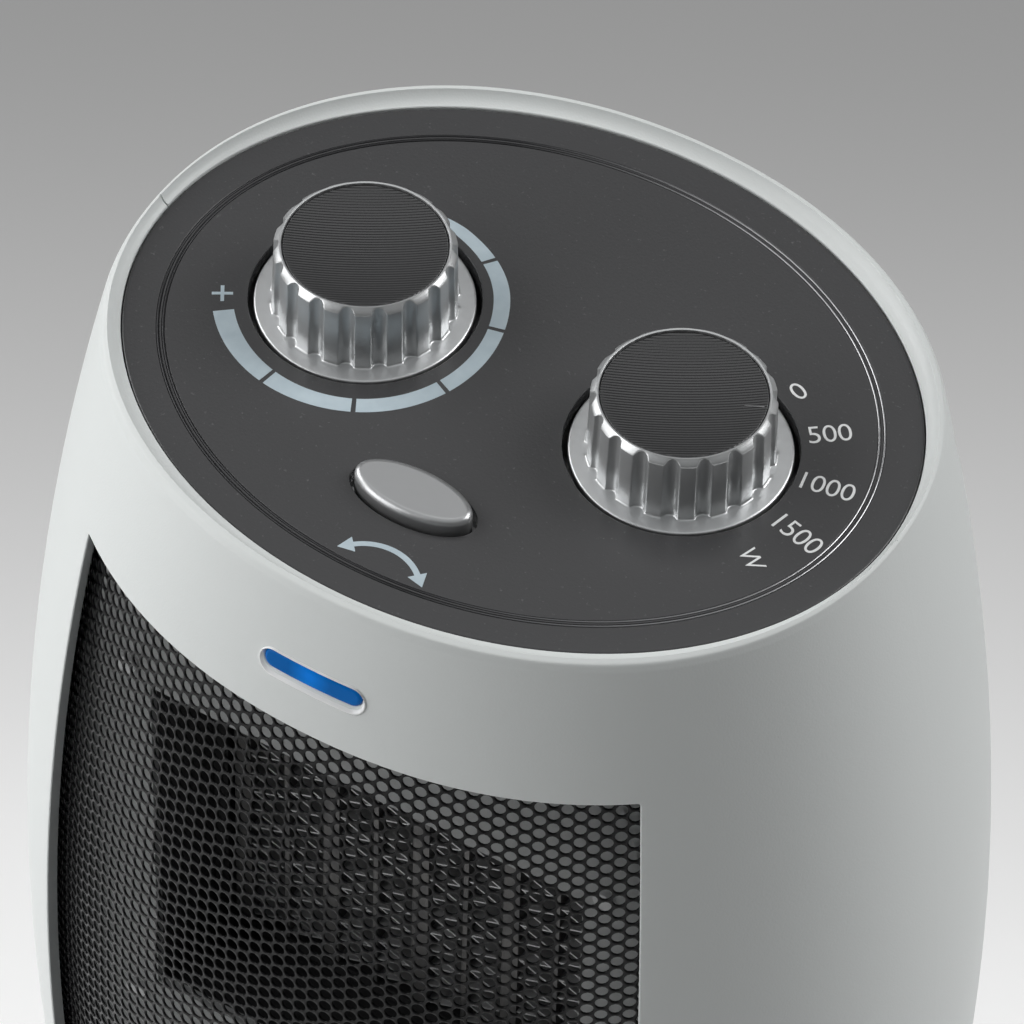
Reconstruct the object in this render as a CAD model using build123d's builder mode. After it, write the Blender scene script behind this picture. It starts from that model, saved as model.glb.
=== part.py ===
"""Small oscillating ceramic fan heater: a bulged oval casing that turns on a low base."""
from build123d import *
from math import copysign, cos, hypot, pi, radians, sin, sqrt
import os

os.makedirs("parts", exist_ok=True)

# Casing: an oval barrel, widest a little below half height
panel_height = 248.0
widest_height = 104.6
casing_half_width = 91.7
casing_half_depth = 79.8
bulge_radius = 650.0
casing_wall = 2.5
front_rim_rise = 1.5
rear_rim_rise = 2.4
rim_crest_width = 0.8
oval_exponent_share = 2.094
section_count = 5
oval_point_count = 16

# Clearances shared by all fits
seat_clearance = 0.3
slide_clearance = 0.2
running_clearance = 0.05
cut_overrun = 4.0

# Base and its turning joint
foot_rise = 2.5
foot_radius = 8.0
foot_recess = 1.5
foot_spacing_x = 104.0
foot_spacing_y = 84.0
base_height = 22.0
base_half_width = 84.0
base_half_depth = 73.0
base_draft = 4.0
base_edge_radius = 1.5
base_wall = 2.5
base_cover_thickness = 2.5
base_boss_radius = 4.0
base_boss_spacing_x = 124.0
base_boss_spacing_y = 54.0
turn_gap = 2.0
glide_radius = 49.0
glide_width = 6.0
pivot_radius = 14.0
pivot_wall = 2.5
pivot_clearance = 0.08
retainer_radius = 18.5
retainer_thickness = 2.0
retainer_boss_circle = 11.0
retainer_screw_count = 3
retainer_screw_angle = 30.0
swing_angle = 30.0

# Body floor
floor_thickness = 3.0
floor_collar_height = 4.0
floor_collar_wall = 3.0
floor_boss_radius = 4.0
floor_boss_height = 14.0
floor_boss_x = 62.0
floor_boss_y = 48.5

# Oscillation drive
crank_arm = 18.5
crank_centre = 32.0
crank_shaft_radius = 3.0
crank_hub_radius = 6.5
crank_width = 9.0
crank_thickness = 3.0
crank_drop = 7.0
crank_pin_radius = 1.5
roller_radius = 3.0
roller_height = 5.0
yoke_rail_thickness = 2.0
yoke_rail_height = 7.0
yoke_clearance = 1.6
swing_motor_radius = 24.5
swing_motor_height = 18.0
swing_motor_offset = 12.0
swing_motor_ear_width = 8.0
swing_motor_ear_reach = 30.0
swing_motor_ear_thickness = 1.2

# Screws
screw_shank_radius = 1.5
screw_head_radius = 2.8
screw_head_height = 1.8
small_screw_shank_radius = 1.0
small_screw_head_radius = 2.0
small_screw_head_height = 1.2

# Tip-over switch
tip_x = -44.0
tip_y = -14.0
plunger_radius = 2.5
plunger_collar_radius = 4.5
plunger_collar_height = 1.5
plunger_collar_low = 9.0
tip_spring_wire = 0.5
tip_spring_radius = 3.4
tip_spring_turns = 3
tip_switch_length = 20.0
tip_switch_width = 6.4
tip_bridge_thickness = 1.5
tip_post_thickness = 3.0

# Cord gland
gland_radius = 6.0
gland_bore_radius = 3.6
gland_flange_radius = 8.0
gland_flange_thickness = 1.5
gland_height = 12.5
gland_lip = 3.0

# Front opening, grille and baffle
opening_high = 220.2
opening_low = 62.0
opening_top_half_width = 56.0
opening_middle_half_width = 63.0
opening_bottom_half_width = 62.1
opening_corner_radius = 1.5
grille_thickness = 0.8
grille_margin = 4.0
grille_hole_radius = 4.8
grille_hole_pitch = 12.4
grille_curve_radius = 102.5
grille_gap = 0.6
baffle_depth = 50.0
baffle_thickness = 2.0

# Duct and ceramic element
duct_centre_height = 141.0
duct_width = 90.0
duct_height = 86.0
duct_wall = 2.0
duct_length = 50.0
duct_flange = 5.0
duct_flange_thickness = 2.0
element_front = -30.5
element_depth = 14.0
element_frame_wall = 3.0
element_clearance = 0.2
tube_count = 5
tube_pitch = 19.3
tube_width = 3.4
tube_wall = 0.8
divider_thickness = 1.0
fin_fold_pitch = 2.6
fin_thickness = 0.3
stone_count = 3
stone_length = 23.0
terminal_width = 6.3
terminal_thickness = 0.8
terminal_length = 12.0
cutout_radius = 8.0
cutout_height = 6.0
cutout_x = 22.0
cutout_flange_radius = 9.5
cutout_flange_thickness = 0.8
cutout_tab_length = 6.0

# Fan and its shroud
shroud_half_width = 64.0
shroud_half_height = 50.0
shroud_thickness = 2.0
shroud_ring_depth = 25.0
shroud_ring_wall = 2.0
shroud_arm_angle = 45.0
shroud_arm_width = 6.0
shroud_arm_thickness = 2.5
shroud_boss_x = 58.0
shroud_boss_z = 44.0
shroud_boss_radius = 4.0
fan_radius = 42.0
fan_tip_gap = 1.2
fan_hub_radius = 12.0
fan_hub_depth = 14.0
fan_hub_wall = 2.0
fan_front = 6.5
blade_count = 7
blade_chord = 24.0
blade_camber = 3.0
blade_thickness = 1.4
blade_pitch_angle = 38.0

# Fan motor
shaft_radius = 2.0
shaft_boss_radius = 5.0
shaft_front = 5.0
bracket_width = 46.0
bracket_height = 26.0
bracket_thickness = 1.6
bracket_foot_width = 7.0
bracket_foot_length = 4.0
bush_radius = 4.0
bush_length = 4.0
core_depth = 14.0
core_width = 48.0
core_top = 19.0
core_bottom = 38.0
core_bore_radius = 12.6
rotor_radius = 12.0
window_half_width = 14.5
window_high = 16.5
window_low = 29.0
coil_half_width = 13.5
coil_build = 4.0
bobbin_wall = 1.0
motor_screw_x = 19.0
motor_screw_z = 9.0

# Rear inlet
inlet_half_width = 46.0
inlet_half_height = 45.0
inlet_corner_radius = 6.0
inlet_grille_thickness = 2.2
inlet_slot_count = 12
inlet_slot_height = 3.6
inlet_slot_pitch = 7.0
inlet_slot_half_width = 40.0

# Casing screws and their bosses
casing_boss_radius = 4.5
casing_boss_low_x = 76.0
casing_boss_low_height = 70.0
casing_boss_high_x = 68.0
casing_boss_high_height = 205.0
casing_screw_depth = 10.0
casing_bore_radius = 3.2

# Carrying recess at the top of the back
grip_half_width = 71.0
grip_top_drop = 8.0
grip_end_drop = 21.0
grip_middle_drop = 32.0
grip_front = 34.0
grip_wall = 2.2

# Control panel
panel_half_width = 72.9
panel_half_depth = 59.3
panel_thickness = 2.5
panel_clearance = 0.2
panel_groove_inset = 7.5
panel_groove_width = 0.8
panel_groove_depth = 0.4
ledge_width = 5.0
ledge_thickness = 2.0
panel_screw_share = 0.966
panel_screw_angle = 45.0
panel_screw_bite = 1.6
knob_spacing = 64.2
knob_row_y = 0.2
knob_hole_radius = 20.44
button_y = -35.0
button_half_width = 11.4
button_half_depth = 5.25
button_gap = 0.75
chassis_half_width = 62.0
chassis_half_depth = 48.0
chassis_back = 28.0
chassis_thickness = 2.0
chassis_drop = 12.0
panel_boss_radius = 3.5
panel_boss_x = 50.0
panel_boss_y = 21.0

# Knobs
knob_flange_radius = 19.5
knob_flange_thickness = 2.2
knob_flange_sink = 0.46
knob_foot_radius = 16.37
knob_top_radius = 15.9
knob_rise = 13.5
knob_wall = 2.4
knob_web = 2.5
knob_hub_radius = 5.5
knob_chamfer = 1.05
flute_count = 18
flute_radius = 1.35
flute_circle = 16.55
flute_start_angle = -8.0
cap_radius = 14.44
cap_thickness = 2.2
cap_sink = 0.3
cap_gap = 0.15
control_shaft_radius = 3.0
control_shaft_bite = 6.5
control_body_height = 20.0
thermostat_half_width = 14.0
thermostat_half_depth = 11.0
selector_radius = 13.0
bush_thread_radius = 4.75
nut_radius = 7.0
nut_thickness = 1.8
terminal_tab_length = 7.0

# Oscillation button, its spring and latching switch
button_rise = 2.6
button_thickness = 6.0
button_edge_radius = 1.2
button_travel = 3.0
button_flange_width = 1.6
button_flange_thickness = 1.2
button_stem_radius = 2.0
button_stem_length = 14.0
button_spring_wire = 0.5
button_spring_radius = 3.4
button_spring_turns = 4
latch_half_width = 6.0
latch_height = 17.0
latch_collar = 1.0

# Light window
light_height = 233.8
light_length = 19.6
light_tall = 3.3
light_sink = 0.8
light_flange = 1.5
light_flange_thickness = 1.4
light_flange_gap = 1.4
light_board_width = 26.0
light_board_height = 9.0
light_board_thickness = 1.6
light_bulb_radius = 1.5

# Terminal block
terminal_block_length = 30.0
terminal_block_width = 14.0
terminal_block_height = 13.0
terminal_block_x = -52.0
terminal_block_y = 14.0
terminal_block_ways = 3
terminal_block_well_radius = 2.2

# Levels and places that follow from the sizes above
base_cover_low = foot_rise
base_cover_high = base_cover_low + base_cover_thickness
casing_low = base_height + turn_gap
floor_high = casing_low + floor_thickness
panel_low = panel_height - panel_thickness
ledge_low = panel_low - ledge_thickness
front_rim_height = panel_height + front_rim_rise
rear_rim_height = panel_height + rear_rim_rise
chassis_high = panel_height - chassis_drop
chassis_low = chassis_high - chassis_thickness
duct_back = duct_length - baffle_depth + baffle_thickness
shroud_back = duct_back + shroud_thickness
ring_back = duct_back + shroud_ring_depth
arm_front = ring_back - shroud_arm_thickness
ring_radius = fan_radius + fan_tip_gap
core_front = ring_back + bracket_thickness + bracket_foot_length
core_back = core_front + core_depth
rear_bracket_back = core_back + bracket_foot_length + bracket_thickness


def bulge_drop(height):
    """How far the casing has drawn in at a height, measured from its widest section."""
    return bulge_radius - sqrt(bulge_radius**2 - (height - widest_height) ** 2)


def oval_points(half_width, half_depth, exponent):
    """Points round an oval that is slightly fuller than an ellipse."""
    points = []
    for index in range(oval_point_count):
        angle = 2 * pi * index / oval_point_count
        across = abs(cos(angle)) ** (2 / exponent)
        along = abs(sin(angle)) ** (2 / exponent)
        points.append((half_width * copysign(across, cos(angle)), half_depth * copysign(along, sin(angle))))
    return points


def oval_section(height, half_width, half_depth, exponent):
    """One closed oval at a height, for a loft."""
    with BuildSketch(Plane.XY.offset(height)) as section:
        with BuildLine():
            Spline(*oval_points(half_width, half_depth, exponent), periodic=True)
        make_face()
    return section.sketch


def casing_solid(inset, low, high):
    """The casing's barrel between two heights, drawn in by an inset all round."""
    with BuildPart() as solid:
        for index in range(section_count):
            height = low + (high - low) * index / (section_count - 1)
            drop = bulge_drop(height) + inset
            half_width = casing_half_width - drop
            add(oval_section(height, half_width, casing_half_depth - drop, oval_exponent_share))
        loft()
    return solid.part


def back_plane(depth):
    """A plane across the heater at a depth: x to the right, y up, facing the front."""
    return Plane(origin=(0, depth, 0), x_dir=(1, 0, 0), z_dir=(0, -1, 0))


def screw(plane, head_radius, head_height, shank_radius, length):
    """One pan head screw: the head above the plane, the shank below it."""
    with BuildSketch(plane) as head:
        Circle(head_radius)
    extrude(to_extrude=head.sketch, amount=head_height)
    with BuildSketch(plane) as shank:
        Circle(shank_radius)
    extrude(to_extrude=shank.sketch, amount=-length)


def level_plane(x, y, height, upward=1):
    """A horizontal plane at a place, facing up, or down where upward is -1."""
    return Plane(origin=(x, y, height), x_dir=(1, 0, 0), z_dir=(0, 0, upward))


def finish(piece, label):
    """Label a finished piece and write it."""
    piece.part.label = label
    export_step(piece.part, f"parts/{label}.step")


# Barrel solids that both shells are cut from
front_blank = casing_solid(0, casing_low, front_rim_height)
rear_blank = casing_solid(0, casing_low, rear_rim_height)
cavity = casing_solid(casing_wall, casing_low - cut_overrun, ledge_low)
boss_limit = casing_solid(casing_wall / 2, casing_low, ledge_low)


def panel_recess(rim_height):
    """The space above the ledge: the plate's seat and the flared cove up to the rim."""
    crest_drop = bulge_drop(rim_height) + rim_crest_width
    with BuildPart() as recess:
        with BuildSketch(Plane.XY.offset(ledge_low - cut_overrun)):
            Ellipse(panel_half_width - ledge_width, panel_half_depth - ledge_width)
        extrude(amount=cut_overrun + ledge_thickness + panel_thickness / 2)
        seat_half_width = panel_half_width + panel_clearance
        seat_half_depth = panel_half_depth + panel_clearance
        seat_section = oval_section(panel_height, seat_half_width, seat_half_depth, 2)
        extrude(to_extrude=seat_section, amount=-panel_thickness)
        crest_half_width = casing_half_width - crest_drop
        crest_half_depth = casing_half_depth - crest_drop
        add(seat_section)
        add(oval_section(rim_height, crest_half_width, crest_half_depth, oval_exponent_share))
        loft()
    return recess.part


def front_opening(margin):
    """Outline of the front opening, grown by a margin, as a prism through the casing's front."""
    middle = (opening_high + opening_low) / 2
    with BuildPart() as prism:
        with BuildSketch(back_plane(0)) as outline:
            with BuildLine():
                top_left = (-opening_top_half_width, opening_high)
                top_right = (opening_top_half_width, opening_high)
                bottom_right = (opening_bottom_half_width, opening_low)
                bottom_left = (-opening_bottom_half_width, opening_low)
                Line(top_left, top_right)
                ThreePointArc(top_right, (opening_middle_half_width, middle), bottom_right)
                Line(bottom_right, bottom_left)
                ThreePointArc(bottom_left, (-opening_middle_half_width, middle), top_left)
            make_face()
            fillet(outline.vertices(), opening_corner_radius)
            if margin:
                offset(amount=margin)
        extrude(amount=casing_half_depth + cut_overrun)
    return prism.part


casing_boss_places = [
    (side * x, height)
    for side in (-1, 1)
    for x, height in (
        (casing_boss_low_x, casing_boss_low_height),
        (casing_boss_high_x, casing_boss_high_height),
    )
]
panel_screw_places = [
    (
        side * panel_half_width * panel_screw_share * cos(radians(panel_screw_angle)),
        end * panel_half_depth * panel_screw_share * sin(radians(panel_screw_angle)),
    )
    for side in (-1, 1)
    for end in (-1, 1)
]


def casing_bosses(toward_front):
    """Screw bosses from the seam to the shell's wall, and the floor's two bosses on one side."""
    reach = casing_half_depth if toward_front else -casing_half_depth
    side_y = -floor_boss_y if toward_front else floor_boss_y
    with BuildPart() as bosses:
        with BuildSketch(back_plane(0)):
            with Locations(*casing_boss_places):
                Circle(casing_boss_radius)
        extrude(amount=reach)
        with BuildSketch(Plane.XY.offset(floor_high)):
            with Locations((-floor_boss_x, side_y), (floor_boss_x, side_y)):
                Circle(floor_boss_radius)
        extrude(amount=floor_boss_height)
        add(boss_limit, mode=Mode.INTERSECT)
    return bosses.part


front_recess = panel_recess(front_rim_height)
rear_recess = panel_recess(rear_rim_height)
front_bosses = casing_bosses(True)
rear_bosses = casing_bosses(False)
opening_prism = front_opening(0)
light_half_straight = light_length / 2 - light_tall / 2

# Front shell: moulded half casing with the outlet, the light slot and the screw bosses
with BuildPart() as front_shell:
    add(front_blank)
    add(cavity, mode=Mode.SUBTRACT)
    add(front_recess, mode=Mode.SUBTRACT)
    add(front_bosses)
    split(bisect_by=back_plane(0), keep=Keep.TOP)
    add(opening_prism, mode=Mode.SUBTRACT)
    with BuildSketch(back_plane(0)):
        with Locations((0, light_height)):
            SlotCenterToCenter(2 * light_half_straight, light_tall)
    extrude(amount=casing_half_depth, mode=Mode.SUBTRACT)
    with BuildSketch(back_plane(0)):
        with Locations(*casing_boss_places):
            Circle(screw_shank_radius)
    extrude(amount=casing_screw_depth, mode=Mode.SUBTRACT)
    with BuildSketch(Plane.XY.offset(floor_high)):
        with Locations((-floor_boss_x, -floor_boss_y), (floor_boss_x, -floor_boss_y)):
            Circle(screw_shank_radius)
    extrude(amount=floor_boss_height - casing_wall, mode=Mode.SUBTRACT)
    with BuildSketch(Plane.XY.offset(ledge_low)):
        with Locations(*panel_screw_places):
            Circle(small_screw_shank_radius)
    extrude(amount=ledge_thickness, mode=Mode.SUBTRACT)
finish(front_shell, "front_shell")

# Outline of the carrying recess seen from behind: flat top, bowed lower edge, round ends
grip_top = panel_height - grip_top_drop
grip_end = panel_height - grip_end_drop
grip_bottom = panel_height - grip_middle_drop
grip_end_radius = (grip_top - grip_end) / 2


def grip_outline(margin):
    """The recess's outline, grown by a margin."""
    straight = grip_half_width - grip_end_radius
    with BuildLine() as outline:
        Line((-straight, grip_top + margin), (straight, grip_top + margin))
        ThreePointArc(
            (straight, grip_top + margin),
            (grip_half_width + margin, grip_top - grip_end_radius),
            (straight, grip_end - margin),
        )
        ThreePointArc(
            (straight, grip_end - margin),
            (0, grip_bottom - margin),
            (-straight, grip_end - margin),
        )
        ThreePointArc(
            (-straight, grip_end - margin),
            (-grip_half_width - margin, grip_top - grip_end_radius),
            (-straight, grip_top + margin),
        )
    make_face(outline.edges())


with BuildPart() as grip_liner:
    with BuildSketch(back_plane(grip_front - grip_wall)):
        grip_outline(grip_wall)
    extrude(amount=-casing_half_depth)
    add(boss_limit, mode=Mode.INTERSECT)

with BuildPart() as grip_space:
    with BuildSketch(back_plane(grip_front)):
        grip_outline(0)
    extrude(amount=-casing_half_depth)

shroud_boss_places = [
    (side * shroud_boss_x, duct_centre_height + end * shroud_boss_z) for side in (-1, 1) for end in (-1, 1)
]
with BuildPart() as shroud_bosses:
    with BuildSketch(back_plane(shroud_back)):
        with Locations(*shroud_boss_places):
            Circle(shroud_boss_radius)
    extrude(amount=-casing_half_depth)
    add(boss_limit, mode=Mode.INTERSECT)


def inlet_prism(shrink):
    """The rear inlet's rounded rectangle as a prism through the casing's back."""
    with BuildPart() as prism:
        with BuildSketch(back_plane(0)):
            with Locations((0, duct_centre_height)):
                RectangleRounded(
                    2 * (inlet_half_width - shrink), 2 * (inlet_half_height - shrink), inlet_corner_radius
                )
        extrude(amount=-casing_half_depth - cut_overrun)
    return prism.part


inlet_blank = inlet_prism(0)
inlet_insert = inlet_prism(seat_clearance)

# Rear shell: the other half, with the inlet, the carrying recess and the fan's bosses
with BuildPart() as rear_shell:
    add(rear_blank)
    add(cavity, mode=Mode.SUBTRACT)
    add(rear_recess, mode=Mode.SUBTRACT)
    add(rear_bosses)
    split(bisect_by=back_plane(0), keep=Keep.BOTTOM)
    add(inlet_blank, mode=Mode.SUBTRACT)
    add(shroud_bosses.part)
    add(grip_liner.part)
    add(grip_space.part, mode=Mode.SUBTRACT)
    with BuildSketch(back_plane(0)):
        with Locations(*casing_boss_places):
            Circle(screw_shank_radius + slide_clearance)
    extrude(amount=-casing_half_depth, mode=Mode.SUBTRACT)
    with BuildSketch(back_plane(casing_screw_depth)):
        with Locations(*casing_boss_places):
            Circle(casing_bore_radius)
    extrude(amount=-casing_half_depth, mode=Mode.SUBTRACT)
    with BuildSketch(back_plane(shroud_back)):
        with Locations(*shroud_boss_places):
            Circle(screw_shank_radius)
    extrude(amount=-casing_screw_depth, mode=Mode.SUBTRACT)
    with BuildSketch(Plane.XY.offset(floor_high)):
        with Locations((-floor_boss_x, floor_boss_y), (floor_boss_x, floor_boss_y)):
            Circle(screw_shank_radius)
    extrude(amount=floor_boss_height - casing_wall, mode=Mode.SUBTRACT)
    with BuildSketch(Plane.XY.offset(ledge_low)):
        with Locations(*panel_screw_places):
            Circle(small_screw_shank_radius)
    extrude(amount=ledge_thickness, mode=Mode.SUBTRACT)
finish(rear_shell, "rear_shell")

# Screws of the casing: four through the rear shell into the front, four that hold the shroud
with BuildPart() as shell_screws:
    for x, height in casing_boss_places:
        place = Plane(origin=(x, casing_screw_depth, height), x_dir=(1, 0, 0), z_dir=(0, 1, 0))
        screw(
            place,
            screw_head_radius,
            screw_head_height,
            screw_shank_radius,
            2 * casing_screw_depth - cut_overrun,
        )
    for x, height in shroud_boss_places:
        screw(
            Plane(origin=(x, duct_back, height), x_dir=(1, 0, 0), z_dir=(0, -1, 0)),
            screw_head_radius,
            screw_head_height,
            screw_shank_radius,
            casing_screw_depth,
        )
finish(shell_screws, "shell_screws")

# Rear inlet grille: slotted insert that follows the barrel
inlet_low = duct_centre_height - inlet_half_height - cut_overrun
inlet_high = duct_centre_height + inlet_half_height + cut_overrun
inlet_outer = casing_solid(seat_clearance, inlet_low, inlet_high)
inlet_inner = casing_solid(seat_clearance + inlet_grille_thickness, inlet_low, inlet_high)
with BuildPart() as rear_grille:
    add(inlet_outer)
    add(inlet_inner, mode=Mode.SUBTRACT)
    add(inlet_insert, mode=Mode.INTERSECT)
    with BuildSketch(back_plane(0)):
        with Locations((0, duct_centre_height)):
            with GridLocations(0, inlet_slot_pitch, 1, inlet_slot_count):
                SlotOverall(2 * inlet_slot_half_width, inlet_slot_height)
    extrude(amount=-casing_half_depth, mode=Mode.SUBTRACT)
finish(rear_grille, "rear_grille")

# Front grille: perforated sheet rolled to the casing's curve, just behind the outlet
grille_low = opening_low - 2 * grille_margin
grille_high = opening_high + 2 * grille_margin
grille_inset = casing_wall + grille_gap
grille_axis_y = grille_curve_radius + grille_inset - casing_half_depth


def grille_drum(inset):
    """The full drum whose front the grille is cut from, drawn in by an inset."""
    heights = (grille_low, (grille_low + grille_high) / 2, grille_high)
    with BuildPart() as drum:
        with BuildSketch(Plane.XZ.offset(-grille_axis_y)):
            with BuildLine():
                low, middle, high = [(grille_curve_radius - inset - bulge_drop(z), z) for z in heights]
                ThreePointArc(low, middle, high)
                Polyline(high, (0, grille_high), (0, grille_low), low)
            make_face()
        revolve(axis=Axis((0, grille_axis_y, 0), (0, 0, 1)))
    return drum.part


grille_outer = grille_drum(0)
grille_inner = grille_drum(grille_thickness)
grille_prism = front_opening(grille_margin)
grille_columns = int(2 * opening_top_half_width / grille_hole_pitch)
grille_rows = int((opening_high - opening_low) / grille_hole_pitch)
with BuildPart() as front_grille:
    add(grille_outer)
    add(grille_inner, mode=Mode.SUBTRACT)
    add(grille_prism, mode=Mode.INTERSECT)
    with BuildSketch(back_plane(0)):
        with Locations((0, (opening_high + opening_low) / 2)):
            with GridLocations(grille_hole_pitch, grille_hole_pitch, grille_columns, grille_rows):
                Circle(grille_hole_radius)
    extrude(amount=casing_half_depth, mode=Mode.SUBTRACT)
finish(front_grille, "front_grille")

# Baffle: flat white plate behind the grille with the duct's mouth in it
baffle_low = opening_low - grille_margin
baffle_high = opening_high + grille_margin
baffle_limit = grille_drum(grille_thickness + seat_clearance)
duct_screw_x = duct_width / 2 + duct_wall + duct_flange / 2
duct_screw_z = duct_height / 2 + duct_wall + duct_flange / 2
duct_screw_places = [
    (side * duct_screw_x, duct_centre_height + end * duct_screw_z) for side in (-1, 1) for end in (-1, 1)
]
with BuildPart() as front_baffle:
    with BuildSketch(back_plane(-baffle_depth + baffle_thickness)):
        with Locations((0, (baffle_low + baffle_high) / 2)):
            Rectangle(2 * casing_half_width, baffle_high - baffle_low)
        with Locations((0, duct_centre_height)):
            Rectangle(duct_width, duct_height, mode=Mode.SUBTRACT)
        with Locations(*duct_screw_places):
            Circle(small_screw_shank_radius, mode=Mode.SUBTRACT)
    extrude(amount=baffle_thickness)
    add(baffle_limit, mode=Mode.INTERSECT)
finish(front_baffle, "front_baffle")

# Air duct: square black tube from the baffle back to the fan, flanged at both ends
duct_front = -baffle_depth + baffle_thickness
with BuildPart() as air_duct:
    with BuildSketch(back_plane(duct_front)):
        with Locations((0, duct_centre_height)):
            Rectangle(duct_width + 2 * duct_wall, duct_height + 2 * duct_wall)
            Rectangle(duct_width, duct_height, mode=Mode.SUBTRACT)
    extrude(amount=-duct_length)
    with BuildSketch(back_plane(duct_front), back_plane(duct_back - duct_flange_thickness)):
        with Locations((0, duct_centre_height)):
            Rectangle(
                duct_width + 2 * (duct_wall + duct_flange), duct_height + 2 * (duct_wall + duct_flange)
            )
            Rectangle(duct_width, duct_height, mode=Mode.SUBTRACT)
        with Locations(*duct_screw_places):
            Circle(small_screw_shank_radius, mode=Mode.SUBTRACT)
    extrude(amount=-duct_flange_thickness)
finish(air_duct, "air_duct")

# Element frame: heat-proof frame that holds the tubes and fins in the duct
frame_width = duct_width - 2 * element_clearance
frame_height = duct_height - 2 * element_clearance
frame_inner_width = frame_width - 2 * element_frame_wall
frame_inner_height = frame_height - 2 * element_frame_wall
element_back = element_front + element_depth
with BuildPart() as element_frame:
    with BuildSketch(back_plane(element_back)):
        with Locations((0, duct_centre_height)):
            Rectangle(frame_width, frame_height)
            Rectangle(frame_inner_width, frame_inner_height, mode=Mode.SUBTRACT)
    extrude(amount=element_depth)
finish(element_frame, "element_frame")

# Flat aluminium tubes, upright, each with its ceramic stones inside
tube_height = frame_inner_height - 2 * element_clearance
tube_depth = element_depth - 2 * element_clearance
tube_places = [
    ((index - (tube_count - 1) / 2) * tube_pitch, duct_centre_height) for index in range(tube_count)
]
tube_back = element_back - element_clearance
with BuildPart() as element_tubes:
    with BuildSketch(back_plane(tube_back)):
        with Locations(*tube_places):
            Rectangle(tube_width, tube_height)
    extrude(amount=tube_depth)
    with BuildSketch(Plane.XY.offset(duct_centre_height - tube_height / 2)):
        with Locations(*[(x, element_back - element_depth / 2) for x, height in tube_places]):
            Rectangle(tube_width - 2 * tube_wall, tube_depth - 2 * tube_wall)
    extrude(amount=tube_height, mode=Mode.SUBTRACT)
finish(element_tubes, "element_tubes")

stone_gap = (tube_height - stone_count * stone_length) / (stone_count + 1)
with BuildPart() as ceramic_stones:
    with BuildSketch(back_plane(element_back - tube_wall - 2 * element_clearance)):
        with Locations(*tube_places):
            with GridLocations(0, stone_length + stone_gap, 1, stone_count):
                Rectangle(tube_width - 2 * tube_wall - element_clearance, stone_length)
    extrude(amount=tube_depth - 2 * tube_wall - 2 * element_clearance)
finish(ceramic_stones, "ceramic_stones")

# Thin upright strips midway between the tubes
gap_places = [
    ((index - (tube_count - 2) / 2) * tube_pitch, duct_centre_height) for index in range(tube_count - 1)
]
with BuildPart() as element_dividers:
    with BuildSketch(back_plane(tube_back)):
        with Locations(*gap_places):
            Rectangle(divider_thickness, tube_height)
    extrude(amount=tube_depth)
finish(element_dividers, "element_dividers")

# Corrugated fins, two strips of folded foil between each pair of tubes
fin_width = (tube_pitch - tube_width - divider_thickness) / 2 - element_clearance
fin_skew = fin_thickness * hypot(fin_width, fin_fold_pitch) / fin_fold_pitch
fin_fold_count = int(tube_height / fin_fold_pitch) - 1
fin_places = [
    x + side * (divider_thickness + fin_width + element_clearance) / 2
    for x, height in gap_places
    for side in (-1, 1)
]
fin_start = duct_centre_height - fin_fold_count * fin_fold_pitch / 2


def folded_foil(centre):
    """The edge of one folded strip: up one face and back down the other."""
    up_side = []
    for index in range(fin_fold_count + 1):
        side = 1 if index % 2 else -1
        up_side.append((centre + side * (fin_width - fin_skew) / 2, fin_start + index * fin_fold_pitch))
    left = [(x - fin_skew / 2, height) for x, height in up_side]
    right = [(x + fin_skew / 2, height) for x, height in up_side]
    return left + right[::-1]


with BuildPart() as element_fins:
    for centre in fin_places:
        with BuildSketch(back_plane(tube_back)):
            with BuildLine():
                Polyline(*folded_foil(centre), close=True)
            make_face()
        extrude(amount=tube_depth)
finish(element_fins, "element_fins")

# Blade terminals that stand out behind the frame's upper bar
terminal_height = duct_centre_height + frame_height / 2 - element_frame_wall / 2
with BuildPart() as element_terminals:
    with BuildSketch(back_plane(element_back)):
        with Locations((-tube_pitch, terminal_height), (0, terminal_height), (tube_pitch, terminal_height)):
            Rectangle(terminal_width, terminal_thickness)
    extrude(amount=-terminal_length)
finish(element_terminals, "element_terminals")

# Thermal cut-out on top of the duct, just behind the element
cutout_seat = duct_centre_height + duct_height / 2 + duct_wall
cutout_y = element_front
with BuildPart() as thermal_cutout:
    with BuildSketch(level_plane(cutout_x, cutout_y, cutout_seat)):
        Circle(cutout_flange_radius)
    extrude(amount=cutout_flange_thickness)
    with BuildSketch(level_plane(cutout_x, cutout_y, cutout_seat)):
        Circle(cutout_radius)
    extrude(amount=cutout_height)
    with BuildSketch(level_plane(cutout_x, cutout_y, cutout_seat + cutout_height)):
        with GridLocations(cutout_radius, 0, 2, 1):
            Rectangle(terminal_thickness, terminal_width)
    extrude(amount=cutout_tab_length)
finish(thermal_cutout, "thermal_cutout")

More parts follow.
